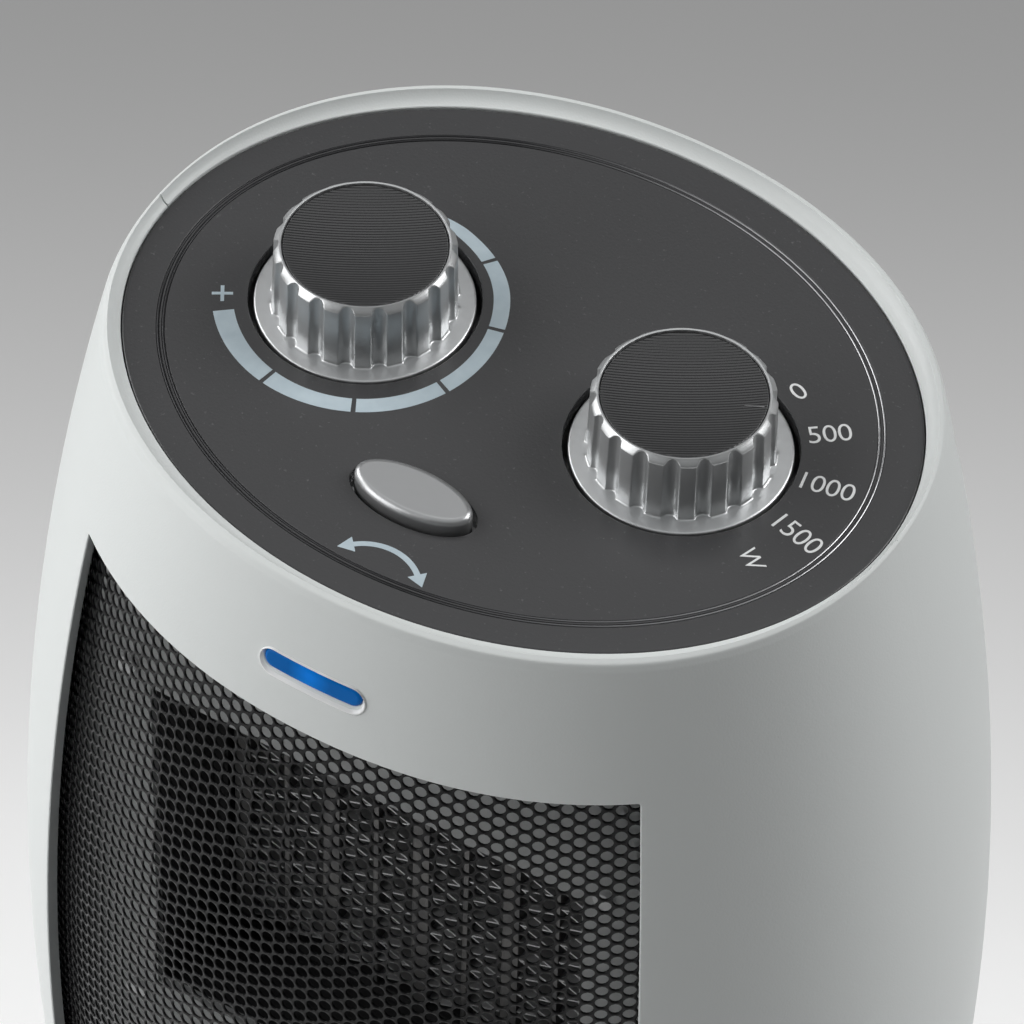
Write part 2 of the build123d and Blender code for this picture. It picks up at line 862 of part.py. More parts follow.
# Fan shroud: plate on the duct's back with the fan's ring and the motor's spider
motor_screw_places = [
    (side * motor_screw_x, duct_centre_height + end * motor_screw_z) for side in (-1, 1) for end in (-1, 1)
]
with BuildPart() as fan_shroud:
    with BuildSketch(back_plane(duct_back)):
        with Locations((0, duct_centre_height)):
            RectangleRounded(2 * shroud_half_width, 2 * shroud_half_height, shroud_boss_radius)
            Circle(ring_radius, mode=Mode.SUBTRACT)
        with Locations(*duct_screw_places):
            Circle(small_screw_shank_radius, mode=Mode.SUBTRACT)
        with Locations(*shroud_boss_places):
            Circle(screw_shank_radius + slide_clearance, mode=Mode.SUBTRACT)
    extrude(amount=-shroud_thickness)
    with BuildSketch(back_plane(duct_back)):
        with Locations((0, duct_centre_height)):
            Circle(ring_radius + shroud_ring_wall)
            Circle(ring_radius, mode=Mode.SUBTRACT)
    extrude(amount=-shroud_ring_depth)
    with BuildSketch(back_plane(arm_front)):
        with Locations((0, duct_centre_height)):
            Rectangle(bracket_width, bracket_height)
        for angle in (shroud_arm_angle, -shroud_arm_angle):
            with Locations(Location((0, duct_centre_height, 0), (0, 0, angle))):
                Rectangle(2 * ring_radius + shroud_ring_wall, shroud_arm_width)
        with Locations((0, duct_centre_height)):
            Circle(shaft_boss_radius, mode=Mode.SUBTRACT)
        with Locations(*motor_screw_places):
            Circle(small_screw_shank_radius, mode=Mode.SUBTRACT)
    extrude(amount=-shroud_arm_thickness)
finish(fan_shroud, "fan_shroud")

# Small screws: four through the baffle into the duct, four through the duct into the shroud
with BuildPart() as duct_screws:
    for x, height in duct_screw_places:
        front_place = Plane(origin=(x, -baffle_depth, height), x_dir=(1, 0, 0), z_dir=(0, -1, 0))
        screw(
            front_place,
            small_screw_head_radius,
            small_screw_head_height,
            small_screw_shank_radius,
            baffle_thickness + duct_flange_thickness,
        )
        back_place = Plane(origin=(x, shroud_back, height), x_dir=(1, 0, 0), z_dir=(0, 1, 0))
        screw(
            back_place,
            small_screw_head_radius,
            small_screw_head_height,
            small_screw_shank_radius,
            shroud_thickness + duct_flange_thickness,
        )
finish(duct_screws, "duct_screws")

# Fan: moulded hub with seven cambered blades, pressed on the motor's shaft
fan_middle = fan_front + fan_hub_depth / 2
with BuildPart() as fan_impeller:
    for index in range(blade_count):
        turn = 2 * pi * index / blade_count
        outward = Vector(sin(turn), 0, cos(turn))
        around = Vector(cos(turn), 0, -sin(turn))
        lean = radians(blade_pitch_angle)
        chord_dir = around * cos(lean) + Vector(0, 1, 0) * sin(lean)
        root = Vector(0, fan_middle, duct_centre_height) + outward * (fan_hub_radius - fan_hub_wall)
        with BuildSketch(Plane(origin=root, x_dir=chord_dir, z_dir=outward)):
            with BuildLine():
                lead = (-blade_chord / 2, 0)
                trail = (blade_chord / 2, 0)
                ThreePointArc(lead, (0, blade_camber + blade_thickness / 2), trail)
                ThreePointArc(trail, (0, blade_camber - blade_thickness / 2), lead)
            make_face()
        extrude(amount=fan_radius)
    with BuildSketch(back_plane(fan_front)):
        with Locations((0, duct_centre_height)):
            Circle(fan_radius)
    extrude(amount=-fan_hub_depth, mode=Mode.INTERSECT)
    with BuildSketch(back_plane(fan_front)):
        with Locations((0, duct_centre_height)):
            Circle(fan_hub_radius)
    extrude(amount=-fan_hub_depth)
    with BuildSketch(back_plane(fan_front + fan_hub_wall)):
        with Locations((0, duct_centre_height)):
            Circle(fan_hub_radius - fan_hub_wall)
            Circle(shaft_boss_radius, mode=Mode.SUBTRACT)
    extrude(amount=-fan_hub_depth, mode=Mode.SUBTRACT)
    with BuildSketch(back_plane(fan_front)):
        with Locations((0, duct_centre_height)):
            Circle(shaft_radius)
    extrude(amount=-fan_hub_depth, mode=Mode.SUBTRACT)
finish(fan_impeller, "fan_impeller")

# Motor shaft and rotor
shaft_back = rear_bracket_back + bracket_thickness
with BuildPart() as motor_shaft:
    with BuildSketch(back_plane(shaft_front)):
        with Locations((0, duct_centre_height)):
            Circle(shaft_radius)
    extrude(amount=shaft_front - shaft_back)
finish(motor_shaft, "motor_shaft")

with BuildPart() as motor_rotor:
    with BuildSketch(back_plane(core_front)):
        with Locations((0, duct_centre_height)):
            Circle(rotor_radius)
            Circle(shaft_radius, mode=Mode.SUBTRACT)
    extrude(amount=-core_depth)
finish(motor_rotor, "motor_rotor")

# Laminated core with the rotor's bore and a window for the coil
with BuildPart() as motor_core:
    with BuildSketch(back_plane(core_front)):
        with Locations((0, duct_centre_height + (core_top - core_bottom) / 2)):
            Rectangle(core_width, core_top + core_bottom)
        with Locations((0, duct_centre_height)):
            Circle(core_bore_radius, mode=Mode.SUBTRACT)
        with Locations((0, duct_centre_height - (window_high + window_low) / 2)):
            Rectangle(2 * window_half_width, window_low - window_high, mode=Mode.SUBTRACT)
        with Locations(*motor_screw_places):
            Circle(small_screw_shank_radius + slide_clearance, mode=Mode.SUBTRACT)
    extrude(amount=-core_depth)
finish(motor_core, "motor_core")

# Coil on its bobbin, round the core's lower leg
leg_height = core_bottom - window_low
leg_centre = duct_centre_height - (core_bottom + window_low) / 2
core_middle = (core_front + core_back) / 2
bobbin_inner_z = leg_height + 2 * element_clearance
bobbin_inner_y = core_depth + 2 * element_clearance


def leg_ring(half_length, inner_growth, outer_growth):
    """A box ring round the core's lower leg, along X."""
    end_plane = Plane(origin=(-half_length, core_middle, leg_centre), x_dir=(0, 1, 0), z_dir=(1, 0, 0))
    with BuildSketch(end_plane) as ring:
        Rectangle(bobbin_inner_y + 2 * outer_growth, bobbin_inner_z + 2 * outer_growth)
        Rectangle(bobbin_inner_y + 2 * inner_growth, bobbin_inner_z + 2 * inner_growth, mode=Mode.SUBTRACT)
    extrude(to_extrude=ring.sketch, amount=2 * half_length)


with BuildPart() as coil_bobbin:
    leg_ring(coil_half_width, 0, bobbin_wall)
    for side in (-1, 1):
        flange_x = side * (coil_half_width - bobbin_wall / 2) - bobbin_wall / 2
        flange_plane = Plane(origin=(flange_x, core_middle, leg_centre), x_dir=(0, 1, 0), z_dir=(1, 0, 0))
        flange_growth = 2 * (bobbin_wall + coil_build)
        with BuildSketch(flange_plane):
            Rectangle(bobbin_inner_y + flange_growth, bobbin_inner_z + flange_growth)
            Rectangle(bobbin_inner_y, bobbin_inner_z, mode=Mode.SUBTRACT)
        extrude(amount=bobbin_wall)
finish(coil_bobbin, "coil_bobbin")

with BuildPart() as coil_winding:
    leg_ring(coil_half_width - bobbin_wall, bobbin_wall, bobbin_wall + coil_build - element_clearance)
finish(coil_winding, "coil_winding")


def bearing_bracket(plate_depth, toward_core):
    """Steel strap across the core with two feet and the seat of a bush."""
    foot_x = (bracket_width - bracket_foot_width) / 2
    with BuildPart() as bracket:
        with BuildSketch(back_plane(plate_depth)):
            with Locations((0, duct_centre_height)):
                Rectangle(bracket_width, bracket_height)
                Circle(bush_radius, mode=Mode.SUBTRACT)
            with Locations(*motor_screw_places):
                Circle(small_screw_shank_radius + slide_clearance, mode=Mode.SUBTRACT)
        extrude(amount=-bracket_thickness * toward_core)
        with BuildSketch(back_plane(plate_depth)):
            with Locations((-foot_x, duct_centre_height), (foot_x, duct_centre_height)):
                Rectangle(bracket_foot_width, bracket_height)
            with Locations(*motor_screw_places):
                Circle(small_screw_shank_radius + slide_clearance, mode=Mode.SUBTRACT)
        extrude(amount=-(bracket_thickness + bracket_foot_length) * toward_core)
    return bracket


front_bracket = bearing_bracket(ring_back, 1)
finish(front_bracket, "front_bearing_bracket")
rear_bracket = bearing_bracket(rear_bracket_back, -1)
finish(rear_bracket, "rear_bearing_bracket")

with BuildPart() as motor_bushes:
    with BuildSketch(back_plane(ring_back), back_plane(rear_bracket_back - bush_length)):
        with Locations((0, duct_centre_height)):
            Circle(bush_radius)
            Circle(shaft_radius + running_clearance, mode=Mode.SUBTRACT)
    extrude(amount=-bush_length)
finish(motor_bushes, "motor_bushes")

with BuildPart() as motor_screws:
    for x, height in motor_screw_places:
        screw(
            Plane(origin=(x, rear_bracket_back, height), x_dir=(1, 0, 0), z_dir=(0, 1, 0)),
            small_screw_head_radius,
            small_screw_head_height,
            small_screw_shank_radius,
            rear_bracket_back - arm_front,
        )
finish(motor_screws, "motor_screws")

# Body floor: closes the casing and carries the turning collar and the swing motor
floor_limit = casing_solid(casing_wall + seat_clearance, casing_low, floor_high)
swing_motor_y = crank_centre + swing_motor_offset
ear_places = [(side * swing_motor_ear_reach, swing_motor_y) for side in (-1, 1)]
floor_screw_places = [(x * floor_boss_x, y * floor_boss_y) for x in (-1, 1) for y in (-1, 1)]
with BuildPart() as body_floor:
    add(floor_limit)
    with BuildSketch(Plane.XY.offset(floor_high)):
        Circle(pivot_radius + pivot_clearance + floor_collar_wall)
    extrude(amount=floor_collar_height)
    with BuildSketch(Plane.XY.offset(casing_low)):
        Circle(pivot_radius + pivot_clearance)
    extrude(amount=floor_thickness + floor_collar_height, mode=Mode.SUBTRACT)
    with BuildSketch(Plane.XY.offset(casing_low)):
        with Locations((0, crank_centre)):
            Circle(crank_hub_radius)
        with Locations(*floor_screw_places):
            Circle(screw_shank_radius + slide_clearance)
        with Locations(*ear_places):
            Circle(screw_shank_radius)
    extrude(amount=floor_thickness, mode=Mode.SUBTRACT)
finish(body_floor, "body_floor")

# Screws under the floor into the shells, and two that hold the swing motor's ears
ear_high = floor_high + swing_motor_ear_thickness
with BuildPart() as floor_screws:
    for x, y in floor_screw_places:
        screw(
            level_plane(x, y, casing_low, -1),
            screw_head_radius,
            turn_gap - slide_clearance,
            screw_shank_radius,
            floor_thickness + casing_screw_depth,
        )
    for x, y in ear_places:
        screw(
            level_plane(x, y, ear_high),
            screw_head_radius,
            screw_head_height,
            screw_shank_radius,
            swing_motor_ear_thickness + floor_thickness,
        )
finish(floor_screws, "floor_screws")

# Swing motor: flat geared can with two ears
with BuildPart() as swing_motor:
    with BuildSketch(level_plane(0, swing_motor_y, floor_high)):
        Circle(swing_motor_radius)
    extrude(amount=swing_motor_height)
    with BuildSketch(level_plane(0, swing_motor_y, floor_high)):
        SlotCenterToCenter(2 * swing_motor_ear_reach, swing_motor_ear_width)
        with GridLocations(2 * swing_motor_ear_reach, 0, 2, 1):
            Circle(screw_shank_radius, mode=Mode.SUBTRACT)
    extrude(amount=swing_motor_ear_thickness)
    with BuildSketch(level_plane(0, crank_centre, floor_high)):
        Circle(crank_shaft_radius + running_clearance)
    extrude(amount=swing_motor_height / 2, mode=Mode.SUBTRACT)
finish(swing_motor, "swing_motor")

# Crank under the floor, its shaft and the roller that runs between the base's rails
crank_high = base_height - crank_drop + crank_thickness
crank_low = crank_high - crank_thickness
roller_high = crank_low - slide_clearance
with BuildPart() as swing_shaft:
    with BuildSketch(level_plane(0, crank_centre, crank_low)):
        Circle(crank_shaft_radius)
    extrude(amount=floor_high - crank_low + swing_motor_height / 2 - slide_clearance)
finish(swing_shaft, "swing_shaft")

with BuildPart() as swing_crank:
    with BuildSketch(level_plane(0, crank_centre, crank_low)):
        Circle(crank_hub_radius)
        with Locations((0, crank_arm / 2)):
            Rectangle(crank_width, crank_arm)
        with Locations((0, crank_arm)):
            Circle(crank_width / 2)
        Circle(crank_shaft_radius, mode=Mode.SUBTRACT)
    extrude(amount=crank_thickness)
    with BuildSketch(level_plane(0, crank_centre + crank_arm, crank_low)):
        Circle(crank_pin_radius)
    extrude(amount=-roller_height - slide_clearance)
finish(swing_crank, "swing_crank")

with BuildPart() as crank_roller:
    with BuildSketch(level_plane(0, crank_centre + crank_arm, roller_high)):
        Circle(roller_radius)
        Circle(crank_pin_radius + running_clearance, mode=Mode.SUBTRACT)
    extrude(amount=-roller_height)
finish(crank_roller, "crank_roller")

# Terminal block on the floor
with BuildPart() as terminal_block:
    with BuildSketch(level_plane(terminal_block_x, terminal_block_y, floor_high)):
        Rectangle(terminal_block_width, terminal_block_length)
    extrude(amount=terminal_block_height)
    way_pitch = terminal_block_length / terminal_block_ways
    with BuildSketch(level_plane(terminal_block_x, terminal_block_y, floor_high + terminal_block_height)):
        with GridLocations(0, way_pitch, 1, terminal_block_ways):
            Circle(terminal_block_well_radius)
    extrude(amount=-terminal_block_height / 2, mode=Mode.SUBTRACT)
finish(terminal_block, "terminal_block")


def base_solid(inset, low, high):
    """The base's drafted oval between two heights, drawn in by an inset."""
    with BuildPart() as solid:
        for height in (low, high):
            drop = inset + base_draft * (height - base_cover_low) / (base_height - base_cover_low)
            with BuildSketch(Plane.XY.offset(height)):
                Ellipse(base_half_width - drop, base_half_depth - drop)
        loft()
    return solid.part


with BuildPart() as base_blank:
    add(base_solid(0, base_cover_low, base_height))
    fillet(base_blank.edges().group_by(Axis.Z)[-1], base_edge_radius)

base_cavity = base_solid(base_wall, base_cover_low - cut_overrun, base_height - base_wall)
base_boss_places = [
    (x * base_boss_spacing_x / 2, y * base_boss_spacing_y / 2) for x in (-1, 1) for y in (-1, 1)
]
retainer_screw_angles = [
    radians(retainer_screw_angle) + 2 * pi * index / retainer_screw_count
    for index in range(retainer_screw_count)
]
retainer_screw_places = [
    (retainer_boss_circle * cos(angle), retainer_boss_circle * sin(angle)) for angle in retainer_screw_angles
]
pivot_high = floor_high + floor_collar_height + slide_clearance
slot_reach = crank_hub_radius + slide_clearance

# Base housing: low oval drum with the hollow pivot, and a curved slot for the crank's shaft
with BuildPart() as base_housing:
    add(base_blank.part)
    add(base_cavity, mode=Mode.SUBTRACT)
    with BuildSketch(Plane.XY.offset(base_cover_high)):
        with Locations(*base_boss_places):
            Circle(base_boss_radius)
    extrude(amount=base_height - base_wall - base_cover_high)
    with BuildSketch(Plane.XY.offset(base_height - base_wall)):
        Circle(pivot_radius)
    extrude(amount=pivot_high - base_height + base_wall)
    with BuildSketch(Plane.XY.offset(base_height - base_wall)):
        Circle(pivot_radius - pivot_wall - 2 * small_screw_shank_radius)
        SlotArc(CenterArc((0, 0), crank_centre, 90 - swing_angle, 2 * swing_angle), 2 * slot_reach)
    extrude(amount=pivot_high - base_height + base_wall, mode=Mode.SUBTRACT)
    with BuildSketch(Plane.XY.offset(pivot_high)):
        with Locations(*retainer_screw_places):
            Circle(small_screw_shank_radius)
    extrude(amount=-base_wall - floor_collar_height, mode=Mode.SUBTRACT)
    with BuildSketch(Plane.XY.offset(base_cover_high)):
        with Locations(*base_boss_places):
            Circle(screw_shank_radius)
    extrude(amount=casing_screw_depth, mode=Mode.SUBTRACT)
    with BuildSketch(back_plane(0)):
        with Locations((0, gland_height)):
            Circle(gland_radius)
    extrude(amount=-base_half_depth, mode=Mode.SUBTRACT)
finish(base_housing, "base_housing")

# Base cover: closes the base from below and carries the rails, the feet and the switch
cover_blank = base_solid(base_wall + seat_clearance, base_cover_low, base_cover_high)
rail_low_y = crank_centre * cos(radians(swing_angle))
rail_high_y = crank_centre + crank_arm + roller_radius + yoke_clearance
rail_x = roller_radius + yoke_clearance + yoke_rail_thickness / 2
bridge_low = plunger_collar_low + plunger_collar_height + tip_spring_wire * 2 * tip_spring_turns
with BuildPart() as base_cover:
    add(cover_blank)
    with BuildSketch(Plane.XY.offset(base_cover_high)):
        with Locations((-rail_x, (rail_low_y + rail_high_y) / 2), (rail_x, (rail_low_y + rail_high_y) / 2)):
            Rectangle(yoke_rail_thickness, rail_high_y - rail_low_y)
    extrude(amount=yoke_rail_height)
    with BuildSketch(Plane.XY.offset(base_cover_high)):
        for side in (-1, 1):
            with Locations((tip_x + side * (tip_switch_length / 2 + tip_post_thickness / 2), tip_y)):
                Rectangle(tip_post_thickness, tip_switch_width)
    extrude(amount=bridge_low + tip_bridge_thickness - base_cover_high)
    with BuildSketch(Plane.XY.offset(bridge_low)):
        with Locations((tip_x, tip_y)):
            Rectangle(tip_switch_length + 2 * tip_post_thickness, tip_switch_width)
            Circle(plunger_radius + slide_clearance, mode=Mode.SUBTRACT)
    extrude(amount=tip_bridge_thickness)
    with BuildSketch(Plane.XY.offset(base_cover_low)):
        with Locations((tip_x, tip_y)):
            Circle(plunger_radius + slide_clearance)
        with Locations(*base_boss_places):
            Circle(screw_shank_radius + slide_clearance)
    extrude(amount=base_cover_thickness, mode=Mode.SUBTRACT)
    with BuildSketch(Plane.XY.offset(base_cover_low)):
        with GridLocations(foot_spacing_x, foot_spacing_y, 2, 2):
            Circle(foot_radius + slide_clearance)
        with Locations(*base_boss_places):
            Circle(screw_head_radius + slide_clearance)
    extrude(amount=foot_recess, mode=Mode.SUBTRACT)
finish(base_cover, "base_cover")

with BuildPart() as rubber_feet:
    with BuildSketch():
        with GridLocations(foot_spacing_x, foot_spacing_y, 2, 2):
            Circle(foot_radius)
    extrude(amount=foot_rise + foot_recess)
    fillet(rubber_feet.edges().group_by(Axis.Z)[0], foot_recess / 2)
finish(rubber_feet, "rubber_feet")

# Screws of the base: four hold the cover, three hold the retainer on the pivot
with BuildPart() as base_screws:
    for x, y in base_boss_places:
        screw(
            level_plane(x, y, base_cover_low + foot_recess, -1),
            screw_head_radius,
            foot_recess,
            screw_shank_radius,
            casing_screw_depth,
        )
    for x, y in retainer_screw_places:
        screw(
            level_plane(x, y, pivot_high + retainer_thickness),
            small_screw_head_radius,
            small_screw_head_height,
            small_screw_shank_radius,
            retainer_thickness + floor_collar_height,
        )
finish(base_screws, "base_screws")

# Glide ring on the base, under the floor
with BuildPart() as glide_ring:
    with BuildSketch(Plane.XY.offset(base_height)):
        Circle(glide_radius + glide_width / 2)
        Circle(glide_radius - glide_width / 2, mode=Mode.SUBTRACT)
    extrude(amount=turn_gap)
finish(glide_ring, "glide_ring")

# Retainer: washer on top of the pivot that keeps the body down
with BuildPart() as pivot_retainer:
    with BuildSketch(Plane.XY.offset(pivot_high)):
        Circle(retainer_radius)
        Circle(pivot_radius - pivot_wall - 2 * small_screw_shank_radius, mode=Mode.SUBTRACT)
        with Locations(*retainer_screw_places):
            Circle(small_screw_shank_radius, mode=Mode.SUBTRACT)
    extrude(amount=retainer_thickness)
finish(pivot_retainer, "pivot_retainer")

# Cord gland: soft bush in the base's back wall, empty, its flange shaped to the wall
gland_outer_y = base_half_depth + gland_flange_thickness
gland_wall = base_solid(-slide_clearance, base_cover_low, base_height)
with BuildPart() as cord_gland:
    with BuildSketch(back_plane(gland_outer_y)):
        with Locations((0, gland_height)):
            Circle(gland_flange_radius)
    extrude(amount=gland_flange_thickness + base_draft + base_wall)
    add(gland_wall, mode=Mode.SUBTRACT)
    with BuildSketch(back_plane(gland_outer_y)):
        with Locations((0, gland_height)):
            Circle(gland_radius - slide_clearance)
    extrude(amount=gland_flange_thickness + base_draft + base_wall + gland_lip)
    with BuildSketch(back_plane(0)):
        with Locations((0, gland_height)):
            Circle(gland_bore_radius)
    extrude(amount=-base_half_depth - cut_overrun, mode=Mode.SUBTRACT)
finish(cord_gland, "cord_gland")

# Tip-over plunger: pressed in while the heater stands, pushed out by its spring when lifted
with BuildPart() as tip_plunger:
    with BuildSketch(level_plane(tip_x, tip_y, 0)):
        Circle(plunger_radius)
    extrude(amount=bridge_low + tip_bridge_thickness)
    with BuildSketch(level_plane(tip_x, tip_y, plunger_collar_low)):
        Circle(plunger_collar_radius)
    extrude(amount=plunger_collar_height)
finish(tip_plunger, "tip_plunger")


def coil_spring(x, y, low, high, mean_radius, wire, turns):
    """A small compression spring standing at a place between two heights."""
    start = low + wire / 2
    rise = high - low - wire
    with BuildPart() as spring:
        with BuildLine():
            path = Helix(rise / turns, rise, mean_radius, center=(x, y, start))
        with BuildSketch(Plane(origin=path @ 0, z_dir=path % 0)):
            Circle(wire / 2)
        sweep(is_frenet=True)
    return spring


tip_spring = coil_spring(
    tip_x,
    tip_y,
    plunger_collar_low + plunger_collar_height,
    bridge_low,
    tip_spring_radius,
    tip_spring_wire,
    tip_spring_turns,
)
finish(tip_spring, "tip_spring")

with BuildPart() as tip_switch:
    with BuildSketch(level_plane(tip_x, tip_y, bridge_low + tip_bridge_thickness)):
        Rectangle(tip_switch_length, tip_switch_width)
    extrude(amount=base_height - base_wall - bridge_low - tip_bridge_thickness - slide_clearance)
finish(tip_switch, "tip_switch")

# Control panel: dark oval plate with the knob holes, the button's hole and a fine groove
knob_places = [(-knob_spacing / 2, knob_row_y), (knob_spacing / 2, knob_row_y)]
panel_boss_places = [(x * panel_boss_x, y * panel_boss_y) for x in (-1, 1) for y in (-1, 1)]
groove_half_width = panel_half_width - panel_groove_inset
groove_half_depth = panel_half_depth - panel_groove_inset
with BuildPart() as control_panel:
    with BuildSketch(Plane.XY.offset(panel_low)):
        Ellipse(panel_half_width, panel_half_depth)
    extrude(amount=panel_thickness)
    with BuildSketch(Plane.XY.offset(chassis_high)):
        with Locations(*panel_boss_places):
            Circle(panel_boss_radius)
    extrude(amount=panel_low - chassis_high)
    with BuildSketch(Plane.XY.offset(panel_low)):
        with Locations(*knob_places):
            Circle(knob_hole_radius)
        with Locations((0, button_y)):
            Ellipse(button_half_width + button_gap, button_half_depth + button_gap)
    extrude(amount=panel_thickness, mode=Mode.SUBTRACT)
    with BuildSketch(Plane.XY.offset(panel_height)):
        Ellipse(groove_half_width + panel_groove_width / 2, groove_half_depth + panel_groove_width / 2)
        Ellipse(
            groove_half_width - panel_groove_width / 2,
            groove_half_depth - panel_groove_width / 2,
            mode=Mode.SUBTRACT,
        )
    extrude(amount=-panel_groove_depth, mode=Mode.SUBTRACT)
    with BuildSketch(Plane.XY.offset(chassis_high)):
        with Locations(*panel_boss_places):
            Circle(small_screw_shank_radius)
    extrude(amount=panel_low - chassis_high, mode=Mode.SUBTRACT)
    with BuildSketch(Plane.XY.offset(panel_low)):
        with Locations(*panel_screw_places):
            Circle(small_screw_shank_radius)
    extrude(amount=panel_screw_bite, mode=Mode.SUBTRACT)
finish(control_panel, "control_panel")

# Control chassis: plate under the panel that carries the switches
with BuildPart() as control_chassis:
    with BuildSketch(Plane.XY.offset(chassis_low)):
        Ellipse(chassis_half_width, chassis_half_depth)
        with Locations((0, chassis_back + chassis_half_depth)):
            Rectangle(2 * chassis_half_width, 2 * chassis_half_depth, mode=Mode.SUBTRACT)
        with Locations(*knob_places):
            Circle(bush_thread_radius + slide_clearance, mode=Mode.SUBTRACT)
        with Locations((0, button_y)):
            Circle(button_stem_radius + latch_collar + 2 * slide_clearance, mode=Mode.SUBTRACT)
        with Locations(*panel_boss_places):
            Circle(small_screw_shank_radius, mode=Mode.SUBTRACT)
    extrude(amount=chassis_thickness)
finish(control_chassis, "control_chassis")

with BuildPart() as panel_screws:
    for x, y in panel_screw_places:
        screw(
            level_plane(x, y, ledge_low, -1),
            small_screw_head_radius,
            small_screw_head_height,
            small_screw_shank_radius,
            ledge_thickness + panel_screw_bite,
        )
    for x, y in panel_boss_places:
        screw(
            level_plane(x, y, chassis_low, -1),
            small_screw_head_radius,
            small_screw_head_height,
            small_screw_shank_radius,
            chassis_thickness + panel_low - chassis_high,
        )
finish(panel_screws, "panel_screws")

# Thermostat and selector switch under the chassis, each with a threaded bush and a nut
bush_high = chassis_high + nut_thickness + slide_clearance
shaft_high = panel_height - knob_flange_sink - knob_flange_thickness + control_shaft_bite
control_low = chassis_low - control_body_height
shaft_low = chassis_low - control_body_height / 2


def control_switch(place, outline):
    """A switch body hung under the chassis, bored for its shaft."""
    x, y = place
    with BuildPart() as switch:
        with BuildSketch(level_plane(x, y, control_low)):
            outline()
        extrude(amount=control_body_height)
        with BuildSketch(level_plane(x, y, chassis_low)):
            Circle(bush_thread_radius)
        extrude(amount=bush_high - chassis_low)
        with BuildSketch(level_plane(x, y, shaft_low)):
            Circle(control_shaft_radius + running_clearance)
        extrude(amount=bush_high - shaft_low, mode=Mode.SUBTRACT)
        with BuildSketch(level_plane(x, y, control_low)):
            with GridLocations(2 * terminal_width, terminal_width, 2, 2):
                Rectangle(terminal_width, terminal_thickness)
        extrude(amount=-terminal_tab_length)
    return switch


thermostat = control_switch(
    knob_places[0], lambda: Rectangle(2 * thermostat_half_width, 2 * thermostat_half_depth)
)
finish(thermostat, "thermostat")
selector_switch = control_switch(knob_places[1], lambda: Circle(selector_radius))
finish(selector_switch, "selector_switch")

with BuildPart() as switch_nuts:
    with BuildSketch(Plane.XY.offset(chassis_high)):
        with Locations(*knob_places):
            RegularPolygon(nut_radius, 6)
            Circle(bush_thread_radius + running_clearance, mode=Mode.SUBTRACT)
    extrude(amount=nut_thickness)
finish(switch_nuts, "switch_nuts")


def control_shaft(place):
    """The shaft of one control, from inside its switch up into the knob."""
    x, y = place
    with BuildPart() as shaft:
        with BuildSketch(level_plane(x, y, shaft_low + slide_clearance)):
            Circle(control_shaft_radius)
        extrude(amount=shaft_high - shaft_low - slide_clearance)
    return shaft


finish(control_shaft(knob_places[0]), "thermostat_shaft")
finish(control_shaft(knob_places[1]), "selector_shaft")

knob_low = panel_height - knob_flange_sink - knob_flange_thickness
knob_flange_top = panel_height - knob_flange_sink
knob_high = panel_height + knob_rise
cap_low = knob_high - cap_sink - cap_thickness
hollow_high = cap_low - knob_web


def knob(place):
    """A fluted knob: wide flange, fluted barrel, recess for the cap, hub for the shaft."""
    x, y = place
    with BuildPart() as body:
        with BuildSketch(level_plane(x, y, knob_low)):
            Circle(knob_flange_radius)
        extrude(amount=knob_flange_thickness)
        with BuildSketch(level_plane(x, y, knob_flange_top)):
            Circle(knob_foot_radius)
        with BuildSketch(level_plane(x, y, knob_high)):
            Circle(knob_top_radius)
        loft()
        chamfer(body.edges().group_by(Axis.Z)[-1], knob_chamfer)
        with BuildSketch(level_plane(x, y, knob_flange_top)):
            with PolarLocations(flute_circle, flute_count, start_angle=flute_start_angle):
                Circle(flute_radius)
        extrude(amount=knob_rise + knob_flange_sink, mode=Mode.SUBTRACT)
        with BuildSketch(level_plane(x, y, cap_low)):
            Circle(cap_radius + cap_gap)
        extrude(amount=cap_thickness + cap_sink, mode=Mode.SUBTRACT)
        with BuildSketch(level_plane(x, y, knob_low)):
            Circle(knob_top_radius - knob_wall)
            Circle(knob_hub_radius, mode=Mode.SUBTRACT)
        extrude(amount=hollow_high - knob_low, mode=Mode.SUBTRACT)
        with BuildSketch(level_plane(x, y, knob_low)):
            Circle(control_shaft_radius)
        extrude(amount=control_shaft_bite, mode=Mode.SUBTRACT)
    return body


def knob_cap(place):
    """Gloss black disc let into the knob's top."""
    x, y = place
    with BuildPart() as cap:
        with BuildSketch(level_plane(x, y, cap_low)):
            Circle(cap_radius)
        extrude(amount=cap_thickness)
        fillet(cap.edges().group_by(Axis.Z)[-1], cap_sink)
    return cap


finish(knob(knob_places[0]), "thermostat_knob")
finish(knob(knob_places[1]), "selector_knob")
finish(knob_cap(knob_places[0]), "thermostat_knob_cap")
finish(knob_cap(knob_places[1]), "selector_knob_cap")

# Oscillation button: oval cap with a flange that keeps it in, and a stem to the switch
button_high = panel_height + button_rise
button_low = button_high - button_thickness
flange_low = button_low - button_flange_thickness
with BuildPart() as swing_button:
    with BuildSketch(Plane.XY.offset(button_low)):
        with Locations((0, button_y)):
            Ellipse(button_half_width, button_half_depth)
    extrude(amount=button_thickness)
    fillet(swing_button.edges().group_by(Axis.Z)[-1], button_edge_radius)
    with BuildSketch(Plane.XY.offset(flange_low)):
        with Locations((0, button_y)):
            Ellipse(button_half_width + button_flange_width, button_half_depth + button_flange_width)
    extrude(amount=button_flange_thickness)
    with BuildSketch(level_plane(0, button_y, flange_low)):
        Circle(button_stem_radius)
    extrude(amount=-button_stem_length)
finish(swing_button, "swing_button")

